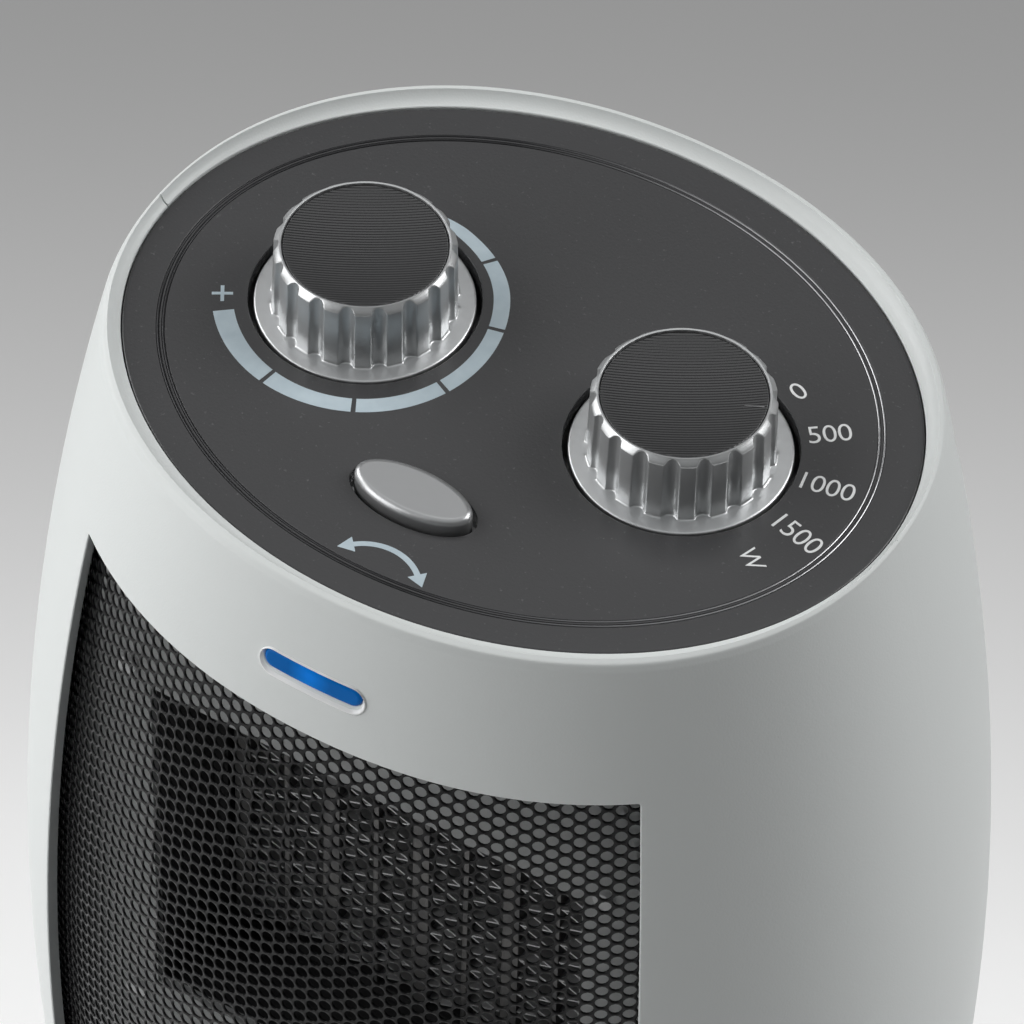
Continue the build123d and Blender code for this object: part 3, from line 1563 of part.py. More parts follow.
latch_high = chassis_low
stem_low = flange_low - button_stem_length
with BuildPart() as latching_switch:
    with BuildSketch(level_plane(0, button_y, latch_high - latch_height)):
        Rectangle(2 * latch_half_width, 2 * latch_half_width)
    extrude(amount=latch_height)
    with BuildSketch(level_plane(0, button_y, latch_high)):
        Circle(button_stem_radius + slide_clearance + latch_collar)
    extrude(amount=chassis_thickness)
    with BuildSketch(level_plane(0, button_y, chassis_high)):
        Circle(button_stem_radius + slide_clearance)
    extrude(amount=stem_low - button_travel - slide_clearance - chassis_high, mode=Mode.SUBTRACT)
finish(latching_switch, "latching_switch")

button_spring = coil_spring(
    0, button_y, chassis_high, flange_low, button_spring_radius, button_spring_wire, button_spring_turns
)
finish(button_spring, "button_spring")

# Light window: blue light guide in the slot, with a flange behind the wall
light_wall_y = -(casing_half_depth - bulge_drop(light_height))
light_back_y = light_wall_y + casing_wall + light_flange_gap + light_flange_thickness
with BuildPart() as light_window:
    with BuildSketch(back_plane(light_back_y)):
        with Locations((0, light_height)):
            SlotCenterToCenter(2 * light_half_straight, light_tall - 2 * slide_clearance)
    extrude(amount=light_back_y - light_wall_y - light_sink)
    with BuildSketch(back_plane(light_back_y)):
        with Locations((0, light_height)):
            SlotCenterToCenter(2 * light_half_straight, light_tall + 2 * light_flange)
    extrude(amount=light_flange_thickness)
finish(light_window, "light_window")

light_board_y = light_back_y + 2 * light_bulb_radius
with BuildPart() as light_board:
    with BuildSketch(back_plane(light_board_y + light_board_thickness)):
        with Locations((0, light_height)):
            Rectangle(light_board_width, light_board_height)
    extrude(amount=light_board_thickness)
    with BuildSketch(back_plane(light_board_y)):
        with Locations((0, light_height)):
            Circle(light_bulb_radius)
    extrude(amount=2 * light_bulb_radius - seat_clearance)
finish(light_board, "light_board")
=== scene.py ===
"""Looks of a small oscillating ceramic fan heater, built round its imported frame."""
import math
from functools import partial
import bmesh
import bpy
from mathutils import Matrix, Vector
from mathutils.kdtree import KDTree


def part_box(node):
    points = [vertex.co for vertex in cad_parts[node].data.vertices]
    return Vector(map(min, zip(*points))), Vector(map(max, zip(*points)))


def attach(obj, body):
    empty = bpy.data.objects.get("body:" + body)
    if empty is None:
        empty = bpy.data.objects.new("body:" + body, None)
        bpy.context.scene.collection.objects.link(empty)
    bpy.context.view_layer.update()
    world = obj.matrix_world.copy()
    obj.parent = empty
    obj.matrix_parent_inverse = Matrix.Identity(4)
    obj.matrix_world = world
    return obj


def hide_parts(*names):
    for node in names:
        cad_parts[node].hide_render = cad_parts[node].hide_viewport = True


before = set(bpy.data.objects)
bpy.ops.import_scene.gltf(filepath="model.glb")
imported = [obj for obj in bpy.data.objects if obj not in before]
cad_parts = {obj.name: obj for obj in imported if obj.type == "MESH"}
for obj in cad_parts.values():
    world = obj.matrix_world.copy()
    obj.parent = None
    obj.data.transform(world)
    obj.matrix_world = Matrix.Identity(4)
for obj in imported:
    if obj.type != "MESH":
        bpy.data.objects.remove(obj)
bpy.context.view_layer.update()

# Camera: a long lens held high in front of the right corner, as in the photograph.
# It looks down on the control panel; the lower casing and the base lie below the picture.
azimuth, elevation, roll = (math.radians(angle) for angle in (30.246, 48.855, 1.861))
camera_distance = 1.21004
camera_right = -0.001593
camera_up = -0.024286
plate_low, plate_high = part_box("control_panel")
back = Vector(
    (math.sin(azimuth) * math.cos(elevation), -math.cos(azimuth) * math.cos(elevation), math.sin(elevation))
)
level_right = Vector((math.cos(azimuth), math.sin(azimuth), 0))
level_up = back.cross(level_right)
right = level_right * math.cos(roll) + level_up * math.sin(roll)
up = level_up * math.cos(roll) - level_right * math.sin(roll)
camera = bpy.data.objects.new("camera", bpy.data.cameras.new("camera"))
camera.data.sensor_width = 36
camera.data.lens = 246.09
camera.data.clip_start = 0.05
camera.data.clip_end = 20
place = Matrix((right, up, back)).transposed().to_4x4()
place.translation = (
    Vector((0, 0, plate_high.z)) + camera_distance * back + camera_right * right + camera_up * up
)
camera.matrix_world = place
bpy.context.scene.collection.objects.link(camera)
bpy.context.scene.camera = camera

# Studio: a wide pale floor under large soft lamps on both sides; its colour and glow are painted light,
# darker far off and lighter towards the viewer.
# The dim room shows pale in what the camera and polished faces see of it, and paler overhead.
scene = bpy.context.scene
scene.view_settings.view_transform = "Standard"
room_colour = (0.97, 0.99, 1.0, 1)
room_fill = 0.03
room_seen_low = 0.10
room_seen_high = 0.47
room_low_rise = 0.60
room_high_rise = 0.88


def add_object(name, data):
    """A new object in the scene."""
    added = bpy.data.objects.new(name, data)
    scene.collection.objects.link(added)
    return added


class Nodes:
    """A node tree under construction."""

    def __init__(self, tree):
        self.tree = tree

    def node(self, kind, settings=None, **links):
        """Add a node and return its outputs; links are its inputs by name, or by number as in0."""
        node = self.tree.nodes.new(kind)
        for key, value in (settings or {}).items():
            setattr(node, key, value)
        for key, value in links.items():
            socket = node.inputs[int(key[2:])] if key[:2] == "in" else node.inputs[key.replace("_", " ")]
            if isinstance(value, bpy.types.NodeSocket):
                self.tree.links.new(value, socket)
            else:
                socket.default_value = value
        return node.outputs

    def math(self, operation, *values):
        """The result of a sum on one or more values."""
        values = {f"in{number}": value for number, value in enumerate(values)}
        return self.node("ShaderNodeMath", {"operation": operation}, **values)[0]

    def dot(self, place, way):
        """How far a place lies along a direction."""
        settings = {"operation": "DOT_PRODUCT"}
        return self.node("ShaderNodeVectorMath", settings, in0=place, in1=way)["Value"]

    def span(self, value, low, high, start=0.0, end=1.0):
        """Map one range of a value onto another."""
        return self.node("ShaderNodeMapRange", in0=value, in1=low, in2=high, in3=start, in4=end)[0]

    def seen(self):
        """One for rays from the camera, from glossy faces and through clear ones, and else nothing."""
        path = self.node("ShaderNodeLightPath")
        polished = self.math("MAXIMUM", path["Is Camera Ray"], path["Is Glossy Ray"])
        return self.math("MAXIMUM", polished, path["Is Transmission Ray"])


world = bpy.data.worlds.new("studio")
scene.world = world
world.use_nodes = True
room = Nodes(world.node_tree)
room_way = room.node("ShaderNodeSeparateXYZ", in0=room.node("ShaderNodeTexCoord")["Generated"])
room_shade = room.span(room_way["Z"], room_low_rise, room_high_rise, room_seen_low, room_seen_high)
room_light = room.tree.nodes["Background"].inputs
room_light["Color"].default_value = room_colour
room.tree.links.new(room.span(room.seen(), 0.0, 1.0, room_fill, room_shade), room_light["Strength"])

lamp_aim = Vector((0, 0, 0.17))
for name, position, size, power in (
    ("left_lamp", (-1.386, 0.0, 0.97), 0.9, 11.8),
    ("key_lamp", (-0.927, -0.927, 1.088), 0.9, 7.7),
    ("low_lamp", (-1.025, -1.221, 0.309), 0.9, 6.4),
    ("rim_lamp", (0.867, 0.867, 1.198), 0.9, 14.4),
    ("sheen_lamp", (-0.35, 0.607, 1.61), 1.0, 1.4),
):
    lamp = add_object(name, bpy.data.lights.new(name, "AREA"))
    lamp.data.size = size
    lamp.data.energy = power
    lamp.location = position
    lamp.rotation_mode = "QUATERNION"
    lamp.rotation_quaternion = (lamp_aim - Vector(position)).to_track_quat("-Z", "Y")

square = ((-1, -1), (1, -1), (1, 1), (-1, 1))
floor_half_side = 6.0
floor = add_object("floor", bpy.data.meshes.new("floor"))
floor.data.from_pydata([(x * floor_half_side, y * floor_half_side, 0) for x, y in square], [], [(0, 1, 2, 3)])


class Shader(Nodes):
    """A node material under construction, with its principled shader and object coordinates."""

    def __init__(self, name, colour, roughness, pits=None, **inputs):
        self.material = bpy.data.materials.new(name)
        self.material.use_nodes = True
        super().__init__(self.material.node_tree)
        self.surface = self.tree.nodes["Principled BSDF"]
        self.surface.inputs["Base Color"].default_value = (*colour, 1)
        self.surface.inputs["Roughness"].default_value = roughness
        for key, value in inputs.items():
            self.surface.inputs[key.replace("_", " ")].default_value = value
        self.place = self.node("ShaderNodeTexCoord")["Object"]
        if pits:
            self.pitted(*pits)

    def join(self, output, socket):
        """Feed the surface's socket."""
        self.tree.links.new(output, self.surface.inputs[socket])

    def grain(self, scale, detail=3.0):
        """Fine noise over the object."""
        return self.node("ShaderNodeTexNoise", Vector=self.place, Scale=scale, Detail=detail)["Fac"]

    def waves(self, way, pitch):
        """Fine waves that follow one another along a direction at a pitch, from minus one to one."""
        return self.math("SINE", self.dot(self.place, tuple(2 * math.pi / pitch * part for part in way)))

    def blend(self, factor, low, high):
        """Colour that runs from one to the other with a factor."""
        mix = self.node("ShaderNodeMix", {"data_type": "RGBA"}, in0=factor, in6=(*low, 1), in7=(*high, 1))
        return mix[2]

    def bumps(self, height, distance, strength=1.0):
        """Raise the surface by a height pattern."""
        bump = self.node("ShaderNodeBump", Height=height, Distance=distance, Strength=strength)
        self.join(bump["Normal"], "Normal")

    def pitted(self, scale, distance, strength=1.0, detail=3.0):
        """Raise the surface by fine noise."""
        self.bumps(self.grain(scale, detail), distance, strength)

    def mottled(self, scale, detail, start, end, low, high):
        """Colour the surface by noise, from one colour to another; return the noise's share."""
        share = self.span(self.grain(scale, detail), start, end)
        self.join(self.blend(share, low, high), "Base Color")
        return share

    def worn(self, scale, detail, low, high):
        """Vary the surface's roughness by noise."""
        self.join(self.span(self.grain(scale, detail), 0.3, 0.7, low, high), "Roughness")


def paint(piece, shader):
    """Give a piece its one material."""
    piece.data.materials.clear()
    piece.data.materials.append(shader.material)


# The floor's colour runs from dark far off to pale near the viewer, and it glows more near the viewer for the
# camera and polished faces: a painted gradient of light.
floor_far_colour = (0.30, 0.30, 0.30)
floor_near_colour = (0.92, 0.92, 0.92)
floor_far = -0.36
floor_near = -0.02
floor_shadow_share = 0.35
floor_bounce_share = 0.65
floor_glow_far = -0.345
floor_glow_near = -0.035
floor_glow_curve = 1.8
floor_glow_low = 0.19
floor_glow_high = 0.69
floor_shader = Shader("floor", floor_near_colour, 0.9, Emission_Color=(1, 1, 1, 1))
heading = floor_shader.dot(floor_shader.place, (math.sin(azimuth), -math.cos(azimuth), 0))
floor_share = floor_shader.span(heading, floor_far, floor_near)
floor_seen = floor_shader.seen()
floor_colour = floor_shader.node(
    "ShaderNodeVectorMath",
    {"operation": "SCALE"},
    in0=floor_shader.blend(floor_share, floor_far_colour, floor_near_colour),
    in3=floor_shader.span(floor_seen, 0.0, 1.0, floor_bounce_share, floor_shadow_share),
)
floor_shader.join(floor_colour[0], "Base Color")
glow_share = floor_shader.span(heading, floor_glow_far, floor_glow_near)
glow_share = floor_shader.math("POWER", glow_share, floor_glow_curve)
floor_glow = floor_shader.span(glow_share, 0.0, 1.0, floor_glow_low, floor_glow_high)
floor_shader.join(floor_shader.math("MULTIPLY", floor_glow, floor_seen), "Emission Strength")
paint(floor, floor_shader)

# Casing: a front and a rear half moulded in white polypropylene and screwed together at the sides.
# Each is one wall that swells like a barrel; its rim slopes up from the panel's seat to a crest and a
# narrow flat, and rounds over into the outside.
rear_foot, rear_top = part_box("rear_shell")
panel_top = plate_high.z
plate_thickness = 0.0025
plate_under = panel_top - plate_thickness
casing_half_width = rear_top.x
casing_half_depth = rear_top.y
casing_foot = rear_foot.z
widest_height = 0.1046
bulge_radius = 0.650
oval_exponent = 2.094
casing_wall = 0.0025
seat_gap = 0.0002
ledge_width = 0.005
ledge_thickness = 0.002
wall_rows = 56
half_turn_columns = 144
rim_section = (
    (1.0, 0.0002), (0.992, 0.00052), (0.978, 0.00080), (0.962, 0.00098), (0.950, 0.00120), (0.935, 0.00144),
    (0.905, 0.00170), (0.87, 0.00184), (0.80, 0.00194), (0.70, 0.00207), (0.672, 0.00212), (0.650, 0.00210),
    (0.630, 0.00200), (0.55, 0.00160), (0.40, 0.00100), (0.25, 0.00058), (0.10, 0.00034), (0.03, 0.00026),
    (0.0, 0.00010), (0.0, -0.001),
)


def bulge_drop(height):
    """How far the casing has drawn in at a height, measured from its widest section."""
    return bulge_radius - math.sqrt(bulge_radius**2 - (height - widest_height) ** 2)


def casing_point(turn, height, inset=0.0):
    """A point of the barrel at an angle round it and a height, drawn in by an inset."""
    drop = bulge_drop(height) + inset
    across, along = (
        math.copysign(abs(share) ** (2 / oval_exponent), share) for share in (math.cos(turn), math.sin(turn))
    )
    return Vector(((casing_half_width - drop) * across, (casing_half_depth - drop) * along, height))


def seat_point(turn, height, growth=0.0):
    """A point round the panel's oval seat."""
    half_width, half_depth = plate_high.x + growth, plate_high.y + growth
    return Vector((half_width * math.cos(turn), half_depth * math.sin(turn), height))


def make_piece(name, points, faces):
    """A closed mesh object from points and faces, with its faces turned outwards."""
    mesh = bpy.data.meshes.new(name)
    mesh.from_pydata(points, [], faces)
    work = bmesh.new()
    work.from_mesh(mesh)
    bmesh.ops.recalc_face_normals(work, faces=work.faces)
    work.to_mesh(mesh)
    work.free()
    return add_object(name, mesh)


def settle(piece):
    """Turn a piece and its modifiers into a plain mesh."""
    graph = bpy.context.evaluated_depsgraph_get()
    mesh = bpy.data.meshes.new_from_object(piece.evaluated_get(graph))
    piece.modifiers.clear()
    piece.data = mesh


def combine(piece, other, operation):
    """Join, cut or intersect a closed piece with another, which is used up."""
    change = piece.modifiers.new("combine", "BOOLEAN")
    change.operation = operation
    change.solver = "MANIFOLD"
    change.object = other
    settle(piece)
    bpy.data.objects.remove(other)


def smooth(piece, angle=30):
    """Shade a piece smoothly, apart from its sharp edges."""
    piece.data.shade_smooth()
    piece.data.set_sharp_from_angle(angle=math.radians(angle))
    piece.modifiers.new("normals", "WEIGHTED_NORMAL").keep_sharp = True
    settle(piece)


def ring_stack(name, *stacks, closed=False):
    """Solids through rings of as many points each, capped at both ends or closed to a loop."""
    points, faces = [], []
    for rings in stacks:
        base, count = len(points), len(rings[0])
        points += [point for ring in rings for point in ring]
        for row in range(len(rings) if closed else len(rings) - 1):
            low, high = base + row * count, base + (row + 1) % len(rings) * count
            faces += [
                (low + i, low + (i + 1) % count, high + (i + 1) % count, high + i) for i in range(count)
            ]
        if not closed:
            faces += [tuple(range(base, base + count)), tuple(range(len(points) - count, len(points)))]
    return make_piece(name, points, faces)


def shell(name, start):
    """Half a casing: its section swept half a turn, up the outside, over the rim and down the inside."""
    ledge_low = plate_under - ledge_thickness
    rim_start = panel_top + rim_section[0][1]
    ledge = ((plate_under, seat_gap), (plate_under, -ledge_width), (ledge_low, -ledge_width))
    sections = []
    for column in range(half_turn_columns + 1):
        turn = start + math.pi * column / half_turn_columns
        section = [
            casing_point(turn, casing_foot + (rim_start - casing_foot) * row / wall_rows)
            for row in range(wall_rows)
        ]
        for share, rise in rim_section:
            height = panel_top + rise
            section.append(seat_point(turn, height, seat_gap).lerp(casing_point(turn, height), share))
        section += [seat_point(turn, height, growth) for height, growth in ledge]
        section += [
            casing_point(turn, ledge_low + (casing_foot - ledge_low) * row / wall_rows, casing_wall)
            for row in range(wall_rows + 1)
        ]
        sections.append(section)
    return ring_stack(name, sections)


def trimmed(piece):
    """A piece cut to the inside of the casing's wall, so that it ends within the wall."""
    rings = []
    high = plate_under - ledge_thickness
    for row in range(wall_rows + 1):
        height = casing_foot + (high - casing_foot) * row / wall_rows
        turns = (math.pi * i / half_turn_columns for i in range(2 * half_turn_columns))
        rings.append([casing_point(turn, height, casing_wall / 2) for turn in turns])
    combine(piece, ring_stack("inside", rings), "INTERSECT")
    return piece


lip_profile = (
    (0.0010, -0.0015), (0.0010, -0.0001), (0.0006, 0.0), (0.0003, 0.0001),
    (0.0001, 0.0003), (0.0, 0.0006), (0.0, 0.006),
)
lip_step = 0.00002
cutter_overrun = 0.005
arc_steps = 6
post_sides = 32


def surface_depth(x, height, inset):
    """How far in front of or behind the middle the casing's surface lies."""
    drop = bulge_drop(height) + inset
    share = min(abs(x) / (casing_half_width - drop), 1.0)
    return (casing_half_depth - drop) * (1 - share**oval_exponent) ** (1 / oval_exponent)


def wall_cutter(outline, side, floor_depth=0.040):
    """A cutter that goes through the wall and rounds the hole's lip; it stops at a depth from the middle."""
    outside = side * (casing_half_depth + cutter_overrun)
    rings = [[(x, outside, height) for x, height in grown(outline, lip_profile[0][0])]]
    for index, (growth, inset) in enumerate(lip_profile):
        limit = floor_depth + (len(lip_profile) - index) * lip_step
        ring = grown(outline, growth)
        rings.append([(x, side * max(surface_depth(x, height, inset), limit), height) for x, height in ring])
    rings.append([(x, side * floor_depth, height) for x, height in outline])
    return ring_stack("cutter", rings)


def grown(outline, growth):
    """An outline of (x, height) moved outwards by a growth."""
    points = []
    count = len(outline)
    for index, (x, height) in enumerate(outline):
        before, after = outline[index - 1], outline[(index + 1) % count]
        along = Vector((after[0] - before[0], after[1] - before[1])).normalized()
        points.append((x + along.y * growth, height - along.x * growth))
    return points


def box_outline(half_width, half_height, middle, radius, step=0.002):
    """A rounded box seen from the front, anticlockwise, with points at a step along its sides."""
    arcs = [
        [
            Vector((x * (half_width - radius), middle + z * (half_height - radius)))
            + radius * Vector((math.cos(turn), math.sin(turn)))
            for turn in (math.pi / 2 * (corner + 2 + part / arc_steps) for part in range(arc_steps + 1))
        ]
        for corner, (x, z) in enumerate(square)
    ]
    points = []
    for arc, after in zip(arcs, arcs[1:] + arcs[:1]):
        leave, arrive = arc[-1], after[0]
        steps = max(1, round((arrive - leave).length / step))
        points += arc + [leave.lerp(arrive, part / steps) for part in range(1, steps)]
    return [(point.x, point.y) for point in points]


def posts(name, places, radius, start, end, upright=False):
    """Round rods between two depths, or heights, at places across them; they are one object."""
    turns = [2 * math.pi * side / post_sides for side in range(post_sides)]
    stacks = []
    for first, second in places:
        circle = [(first + radius * math.cos(turn), second + radius * math.sin(turn)) for turn in turns]
        stacks.append(
            [[(x, y, level) if upright else (x, level, y) for x, y in circle] for level in (start, end)]
        )
    return ring_stack(name, *stacks)


outlet_side_share = 0.687
outlet_low = 0.062
outlet_high = 0.2202
outlet_corner_radius = 0.0004
outlet_middle = (outlet_low + outlet_high) / 2
outlet_half_width = outlet_side_share * (casing_half_width - bulge_drop(outlet_middle))
slot_height = 0.2327
slot_half_length = 0.0098
slot_half_tall = 0.0019
round_end = 0.999
seam_depth = 0.0006
seam_share = 0.66
rim_reach = 0.004
hole_overrun = 0.001
boss_radius = 0.0045
boss_bore_radius = 0.0032
boss_hole_radius = 0.0015
boss_gap = 0.0002
boss_screw_depth = 0.010
boss_places = [(side * x, height) for side in (-1, 1) for x, height in ((0.076, 0.070), (0.068, 0.205))]
floor_post_radius = 0.004
floor_post_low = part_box("body_floor")[0].z + 0.003
floor_post_high = floor_post_low + 0.014
floor_post_x, floor_post_y = 0.062, 0.0485


def outlet_outline():
    """The outlet seen from the front: its sides follow the barrel."""
    half_height = (outlet_high - outlet_low) / 2
    middle_width = casing_half_width - bulge_drop(outlet_middle)
    box = box_outline(outlet_half_width, half_height, outlet_middle, outlet_corner_radius, 0.003)
    return [(x * (casing_half_width - bulge_drop(height)) / middle_width, height) for x, height in box]


def add_posts(piece, side):
    """Screw posts inside a half casing, trimmed to its wall."""
    rods = posts("rods", boss_places, boss_radius, 0, side * casing_half_depth)
    combine(piece, trimmed(rods), "UNION")
    places = [(x * floor_post_x, side * floor_post_y) for x in (-1, 1)]
    rods = posts("rods", places, floor_post_radius, floor_post_low, floor_post_high, upright=True)
    combine(piece, trimmed(rods), "UNION")
    hole_high = floor_post_high - casing_wall
    holes = posts("holes", places, boss_hole_radius, floor_post_low - hole_overrun, hole_high, upright=True)
    combine(piece, holes, "DIFFERENCE")


front_shell = shell("front_casing", math.pi)
combine(front_shell, wall_cutter(outlet_outline(), -1), "DIFFERENCE")
slot_outline = box_outline(slot_half_length, slot_half_tall, slot_height, slot_half_tall * round_end)
combine(front_shell, wall_cutter(slot_outline, -1), "DIFFERENCE")
notch_start = seat_point(0, 0).x - seam_depth
notch_end = seat_point(0, 0).lerp(casing_point(0, panel_top), seam_share).x
for side, seam_width in ((-1, 0.00030), (1, 0.00018)):
    corners = (
        (notch_start, -seam_width), (notch_end, -seam_width), (notch_end, seam_depth),
        (notch_start, seam_depth),
    )
    heights = (panel_top - seam_depth, panel_top + rim_reach)
    rings = [[(side * x, y, height) for x, y in corners] for height in heights]
    combine(front_shell, ring_stack("cutter", rings), "DIFFERENCE")
add_posts(front_shell, -1)
holes = posts("holes", boss_places, boss_hole_radius, hole_overrun, -boss_screw_depth)
combine(front_shell, holes, "DIFFERENCE")
smooth(front_shell)

grip_half_width = 0.071
grip_high = panel_top - 0.008
grip_end_low = panel_top - 0.021
grip_middle_low = panel_top - 0.032
grip_front = 0.034
grip_wall = 0.0022
inlet_half_width = 0.046
inlet_half_height = 0.045
inlet_middle = 0.141
inlet_corner_radius = 0.006
shroud_post_places = [(x * 0.058, inlet_middle + z * 0.044) for x in (-1, 1) for z in (-1, 1)]
shroud_post_radius = 0.004
shroud_post_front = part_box("fan_shroud")[0].y + 0.002


def grip_outline():
    """The carrying recess seen from behind: flat top, round ends and a bowed lower edge."""
    end_radius = (grip_high - grip_end_low) / 2
    end_middle = grip_high - end_radius
    straight = grip_half_width - end_radius
    sag = grip_end_low - grip_middle_low
    bow_radius = (straight**2 + sag**2) / (2 * sag)
    bow_angle = math.asin(straight / bow_radius)
    left, right = (
        [
            (side * (straight + end_radius * math.sin(turn)), end_middle + side * end_radius * math.cos(turn))
            for turn in (math.pi * step / 12 for step in range(1, 12))
        ]
        for side in (-1, 1)
    )
    top = [(-straight + 2 * straight * step / 40, grip_high) for step in range(41)]
    bow = [
        (bow_radius * math.sin(angle), grip_middle_low + bow_radius * (1 - math.cos(angle)))
        for angle in (bow_angle - 2 * bow_angle * step / 40 for step in range(41))
    ]
    return (top + right + bow + left)[::-1]


rear_shell = shell("rear_casing", 0.0)
inlet_outline = box_outline(inlet_half_width, inlet_half_height, inlet_middle, inlet_corner_radius)
combine(rear_shell, wall_cutter(inlet_outline, 1), "DIFFERENCE")
add_posts(rear_shell, 1)
rods = posts("rods", shroud_post_places, shroud_post_radius, shroud_post_front, casing_half_depth)
combine(rear_shell, trimmed(rods), "UNION")
liner_outline = grown(grip_outline(), grip_wall)
liner_depths = (grip_front - grip_wall, casing_half_depth)
liner = ring_stack("liner", [[(x, depth, height) for x, height in liner_outline] for depth in liner_depths])
combine(rear_shell, trimmed(liner), "UNION")
combine(rear_shell, wall_cutter(grip_outline(), 1, grip_front), "DIFFERENCE")
for radius, start in ((boss_hole_radius + boss_gap, -hole_overrun), (boss_bore_radius, boss_screw_depth)):
    combine(rear_shell, posts("holes", boss_places, radius, start, casing_half_depth), "DIFFERENCE")
smooth(rear_shell)

white_shader = Shader("white_polypropylene", (0.80, 0.83, 0.82), 0.42, (2600.0, 0.00003))
for piece, node in ((front_shell, "front_shell"), (rear_shell, "rear_shell")):
    paint(piece, white_shader)
    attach(piece, "body")
    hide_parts(node)

# Front grille: a perforated sheet of black plastic, rolled to the casing's curve just behind the outlet.
# Its round holes stand in close upright columns, every other one half a pitch higher; each lip is broken.
hole_pitch = 0.00295
column_share = math.sqrt(3) / 2
hole_radius = 0.00123
hole_chamfer = 0.00010
sheet_thickness = 0.0004
sheet_overlap = 0.004
drum_radius = 0.1025
drum_inset = casing_wall + 0.0006
drum_axis = drum_radius + drum_inset - casing_half_depth
sheet_half_length = drum_radius * math.asin((outlet_half_width + sheet_overlap) / drum_radius)
sheet_parts = ((outlet_low - sheet_overlap, outlet_middle), (outlet_middle, outlet_high + sheet_overlap))


class Tree(Nodes):
    """A geometry node tree under construction."""

    def __init__(self, name, **inputs):
        super().__init__(bpy.data.node_groups.new(name, "GeometryNodeTree"))
        self.tree.interface.new_socket("Geometry", in_out="OUTPUT", socket_type="NodeSocketGeometry")
        self.values = {}
        for key, value in inputs.items():
            kind = "Int" if isinstance(value, int) else "Float"
            if isinstance(value, bpy.types.Material):
                kind = "Material"
            made = self.tree.interface.new_socket(
                key.replace("_", " "), in_out="INPUT", socket_type=f"NodeSocket{kind}"
            )
            self.values[made.identifier] = value
        given = self.node("NodeGroupInput")
        self.taken = [given[key.replace("_", " ")] for key in inputs]

    def build(self, name, geometry, material):
        """Close the tree, run it and return its result as a plain mesh object."""
        real = self.node("GeometryNodeRealizeInstances", in0=geometry)[0]
        painted = self.node("GeometryNodeSetMaterial", Geometry=real, Material=material)[0]
        self.node("NodeGroupOutput", in0=painted)
        piece = add_object(name, bpy.data.meshes.new(name))
        change = piece.modifiers.new("tree", "NODES")
        change.node_group = self.tree
        for identifier, value in self.values.items():
            change[identifier] = value
        settle(piece)
        return piece


def perforated_sheet(name, low, high, material):
    """A flat perforated sheet: along X its length, along Y its height, its front face at zero."""
    first_row = round(low / hole_pitch)
    tree = Tree(
        name,
        Pitch=hole_pitch, Hole_radius=hole_radius, Chamfer=hole_chamfer, Thickness=sheet_thickness,
        Columns=math.ceil(2 * sheet_half_length / (hole_pitch * column_share)),
        Rows=round(high / hole_pitch) - first_row, First_row=first_row, Sides=12, Material=material,
    )
    pitch, hole, chamfer, thickness, columns, rows, first_row, sides, material = tree.taken
    plus, minus, times, over = (
        partial(tree.math, kind) for kind in ("ADD", "SUBTRACT", "MULTIPLY", "DIVIDE")
    )

    def put(points, x, y, z=0.0):
        """Move points to their places."""
        place = tree.node("ShaderNodeCombineXYZ", X=x, Y=y, Z=z)[0]
        return tree.node("GeometryNodeSetPosition", Geometry=points, Position=place)[0]

    def lattice(columns, rows):
        """A grid's mesh, and the column and the row of each of its points."""
        mesh = tree.node("GeometryNodeMeshGrid", Size_X=1.0, Size_Y=1.0, Vertices_X=columns, Vertices_Y=rows)
        index = tree.node("GeometryNodeInputIndex")[0]
        column = tree.math("FLOOR", over(plus(index, 0.5), rows))
        return mesh["Mesh"], column, minus(index, times(column, rows))

    cell, ring, side = lattice(5, plus(sides, 1))
    angle = times(over(side, sides), 2 * math.pi)
    sixth = minus(tree.math("WRAP", angle, math.pi / 3, 0.0), math.pi / 6)
    corner = over(times(pitch, 0.5), tree.math("COSINE", sixth))
    radius, depth = 0.0, 0.0
    for number, reach, sunk in (
        (0.0, corner, 0.0), (1.0, plus(hole, chamfer), 0.0), (2.0, hole, chamfer), (3.0, hole, thickness),
        (4.0, corner, thickness),
    ):
        here = tree.math("COMPARE", ring, number, 0.1)
        radius = plus(radius, times(here, reach))
        depth = plus(depth, times(here, sunk))
    across, along = (times(radius, tree.math(kind, angle)) for kind in ("COSINE", "SINE"))
    cell = put(cell, across, along, times(depth, -1.0))
    grid, column, row = lattice(columns, rows)
    centred = minus(column, over(minus(columns, 1), 2))
    shifted = plus(plus(row, first_row), times(tree.math("MODULO", column, 2), 0.5))
    grid = put(grid, times(centred, times(pitch, column_share)), times(shifted, pitch))
    cells = tree.node("GeometryNodeInstanceOnPoints", Points=grid, Instance=cell)[0]
    return tree.build(name, cells, material)


def close_sheet(piece):
    """Weld the cells, wall in the sheet's border and roll the sheet on its drum."""
    work = bmesh.new()
    work.from_mesh(piece.data)
    bmesh.ops.remove_doubles(work, verts=work.verts, dist=hole_chamfer / 4)
    work.verts.ensure_lookup_table()
    middle = -sheet_thickness / 2
    rear = [vert for vert in work.verts if vert.is_boundary and vert.co.z < middle]
    search = KDTree(len(rear))
    for index, vert in enumerate(rear):
        search.insert(vert.co, index)
    search.balance()
    sunk = Vector((0, 0, sheet_thickness))
    for edge in [edge for edge in work.edges if edge.is_boundary and edge.verts[0].co.z > middle]:
        one, two = edge.verts
        work.faces.new((one, two, *(rear[search.find(vert.co - sunk)[1]] for vert in (two, one))))
    for vert in work.verts:
        reach = drum_radius - bulge_drop(vert.co.y) + vert.co.z
        turn = vert.co.x / drum_radius
        vert.co = Vector((reach * math.sin(turn), drum_axis - reach * math.cos(turn), vert.co.y))
    bmesh.ops.recalc_face_normals(work, faces=work.faces)
    work.to_mesh(piece.data)
    work.free()


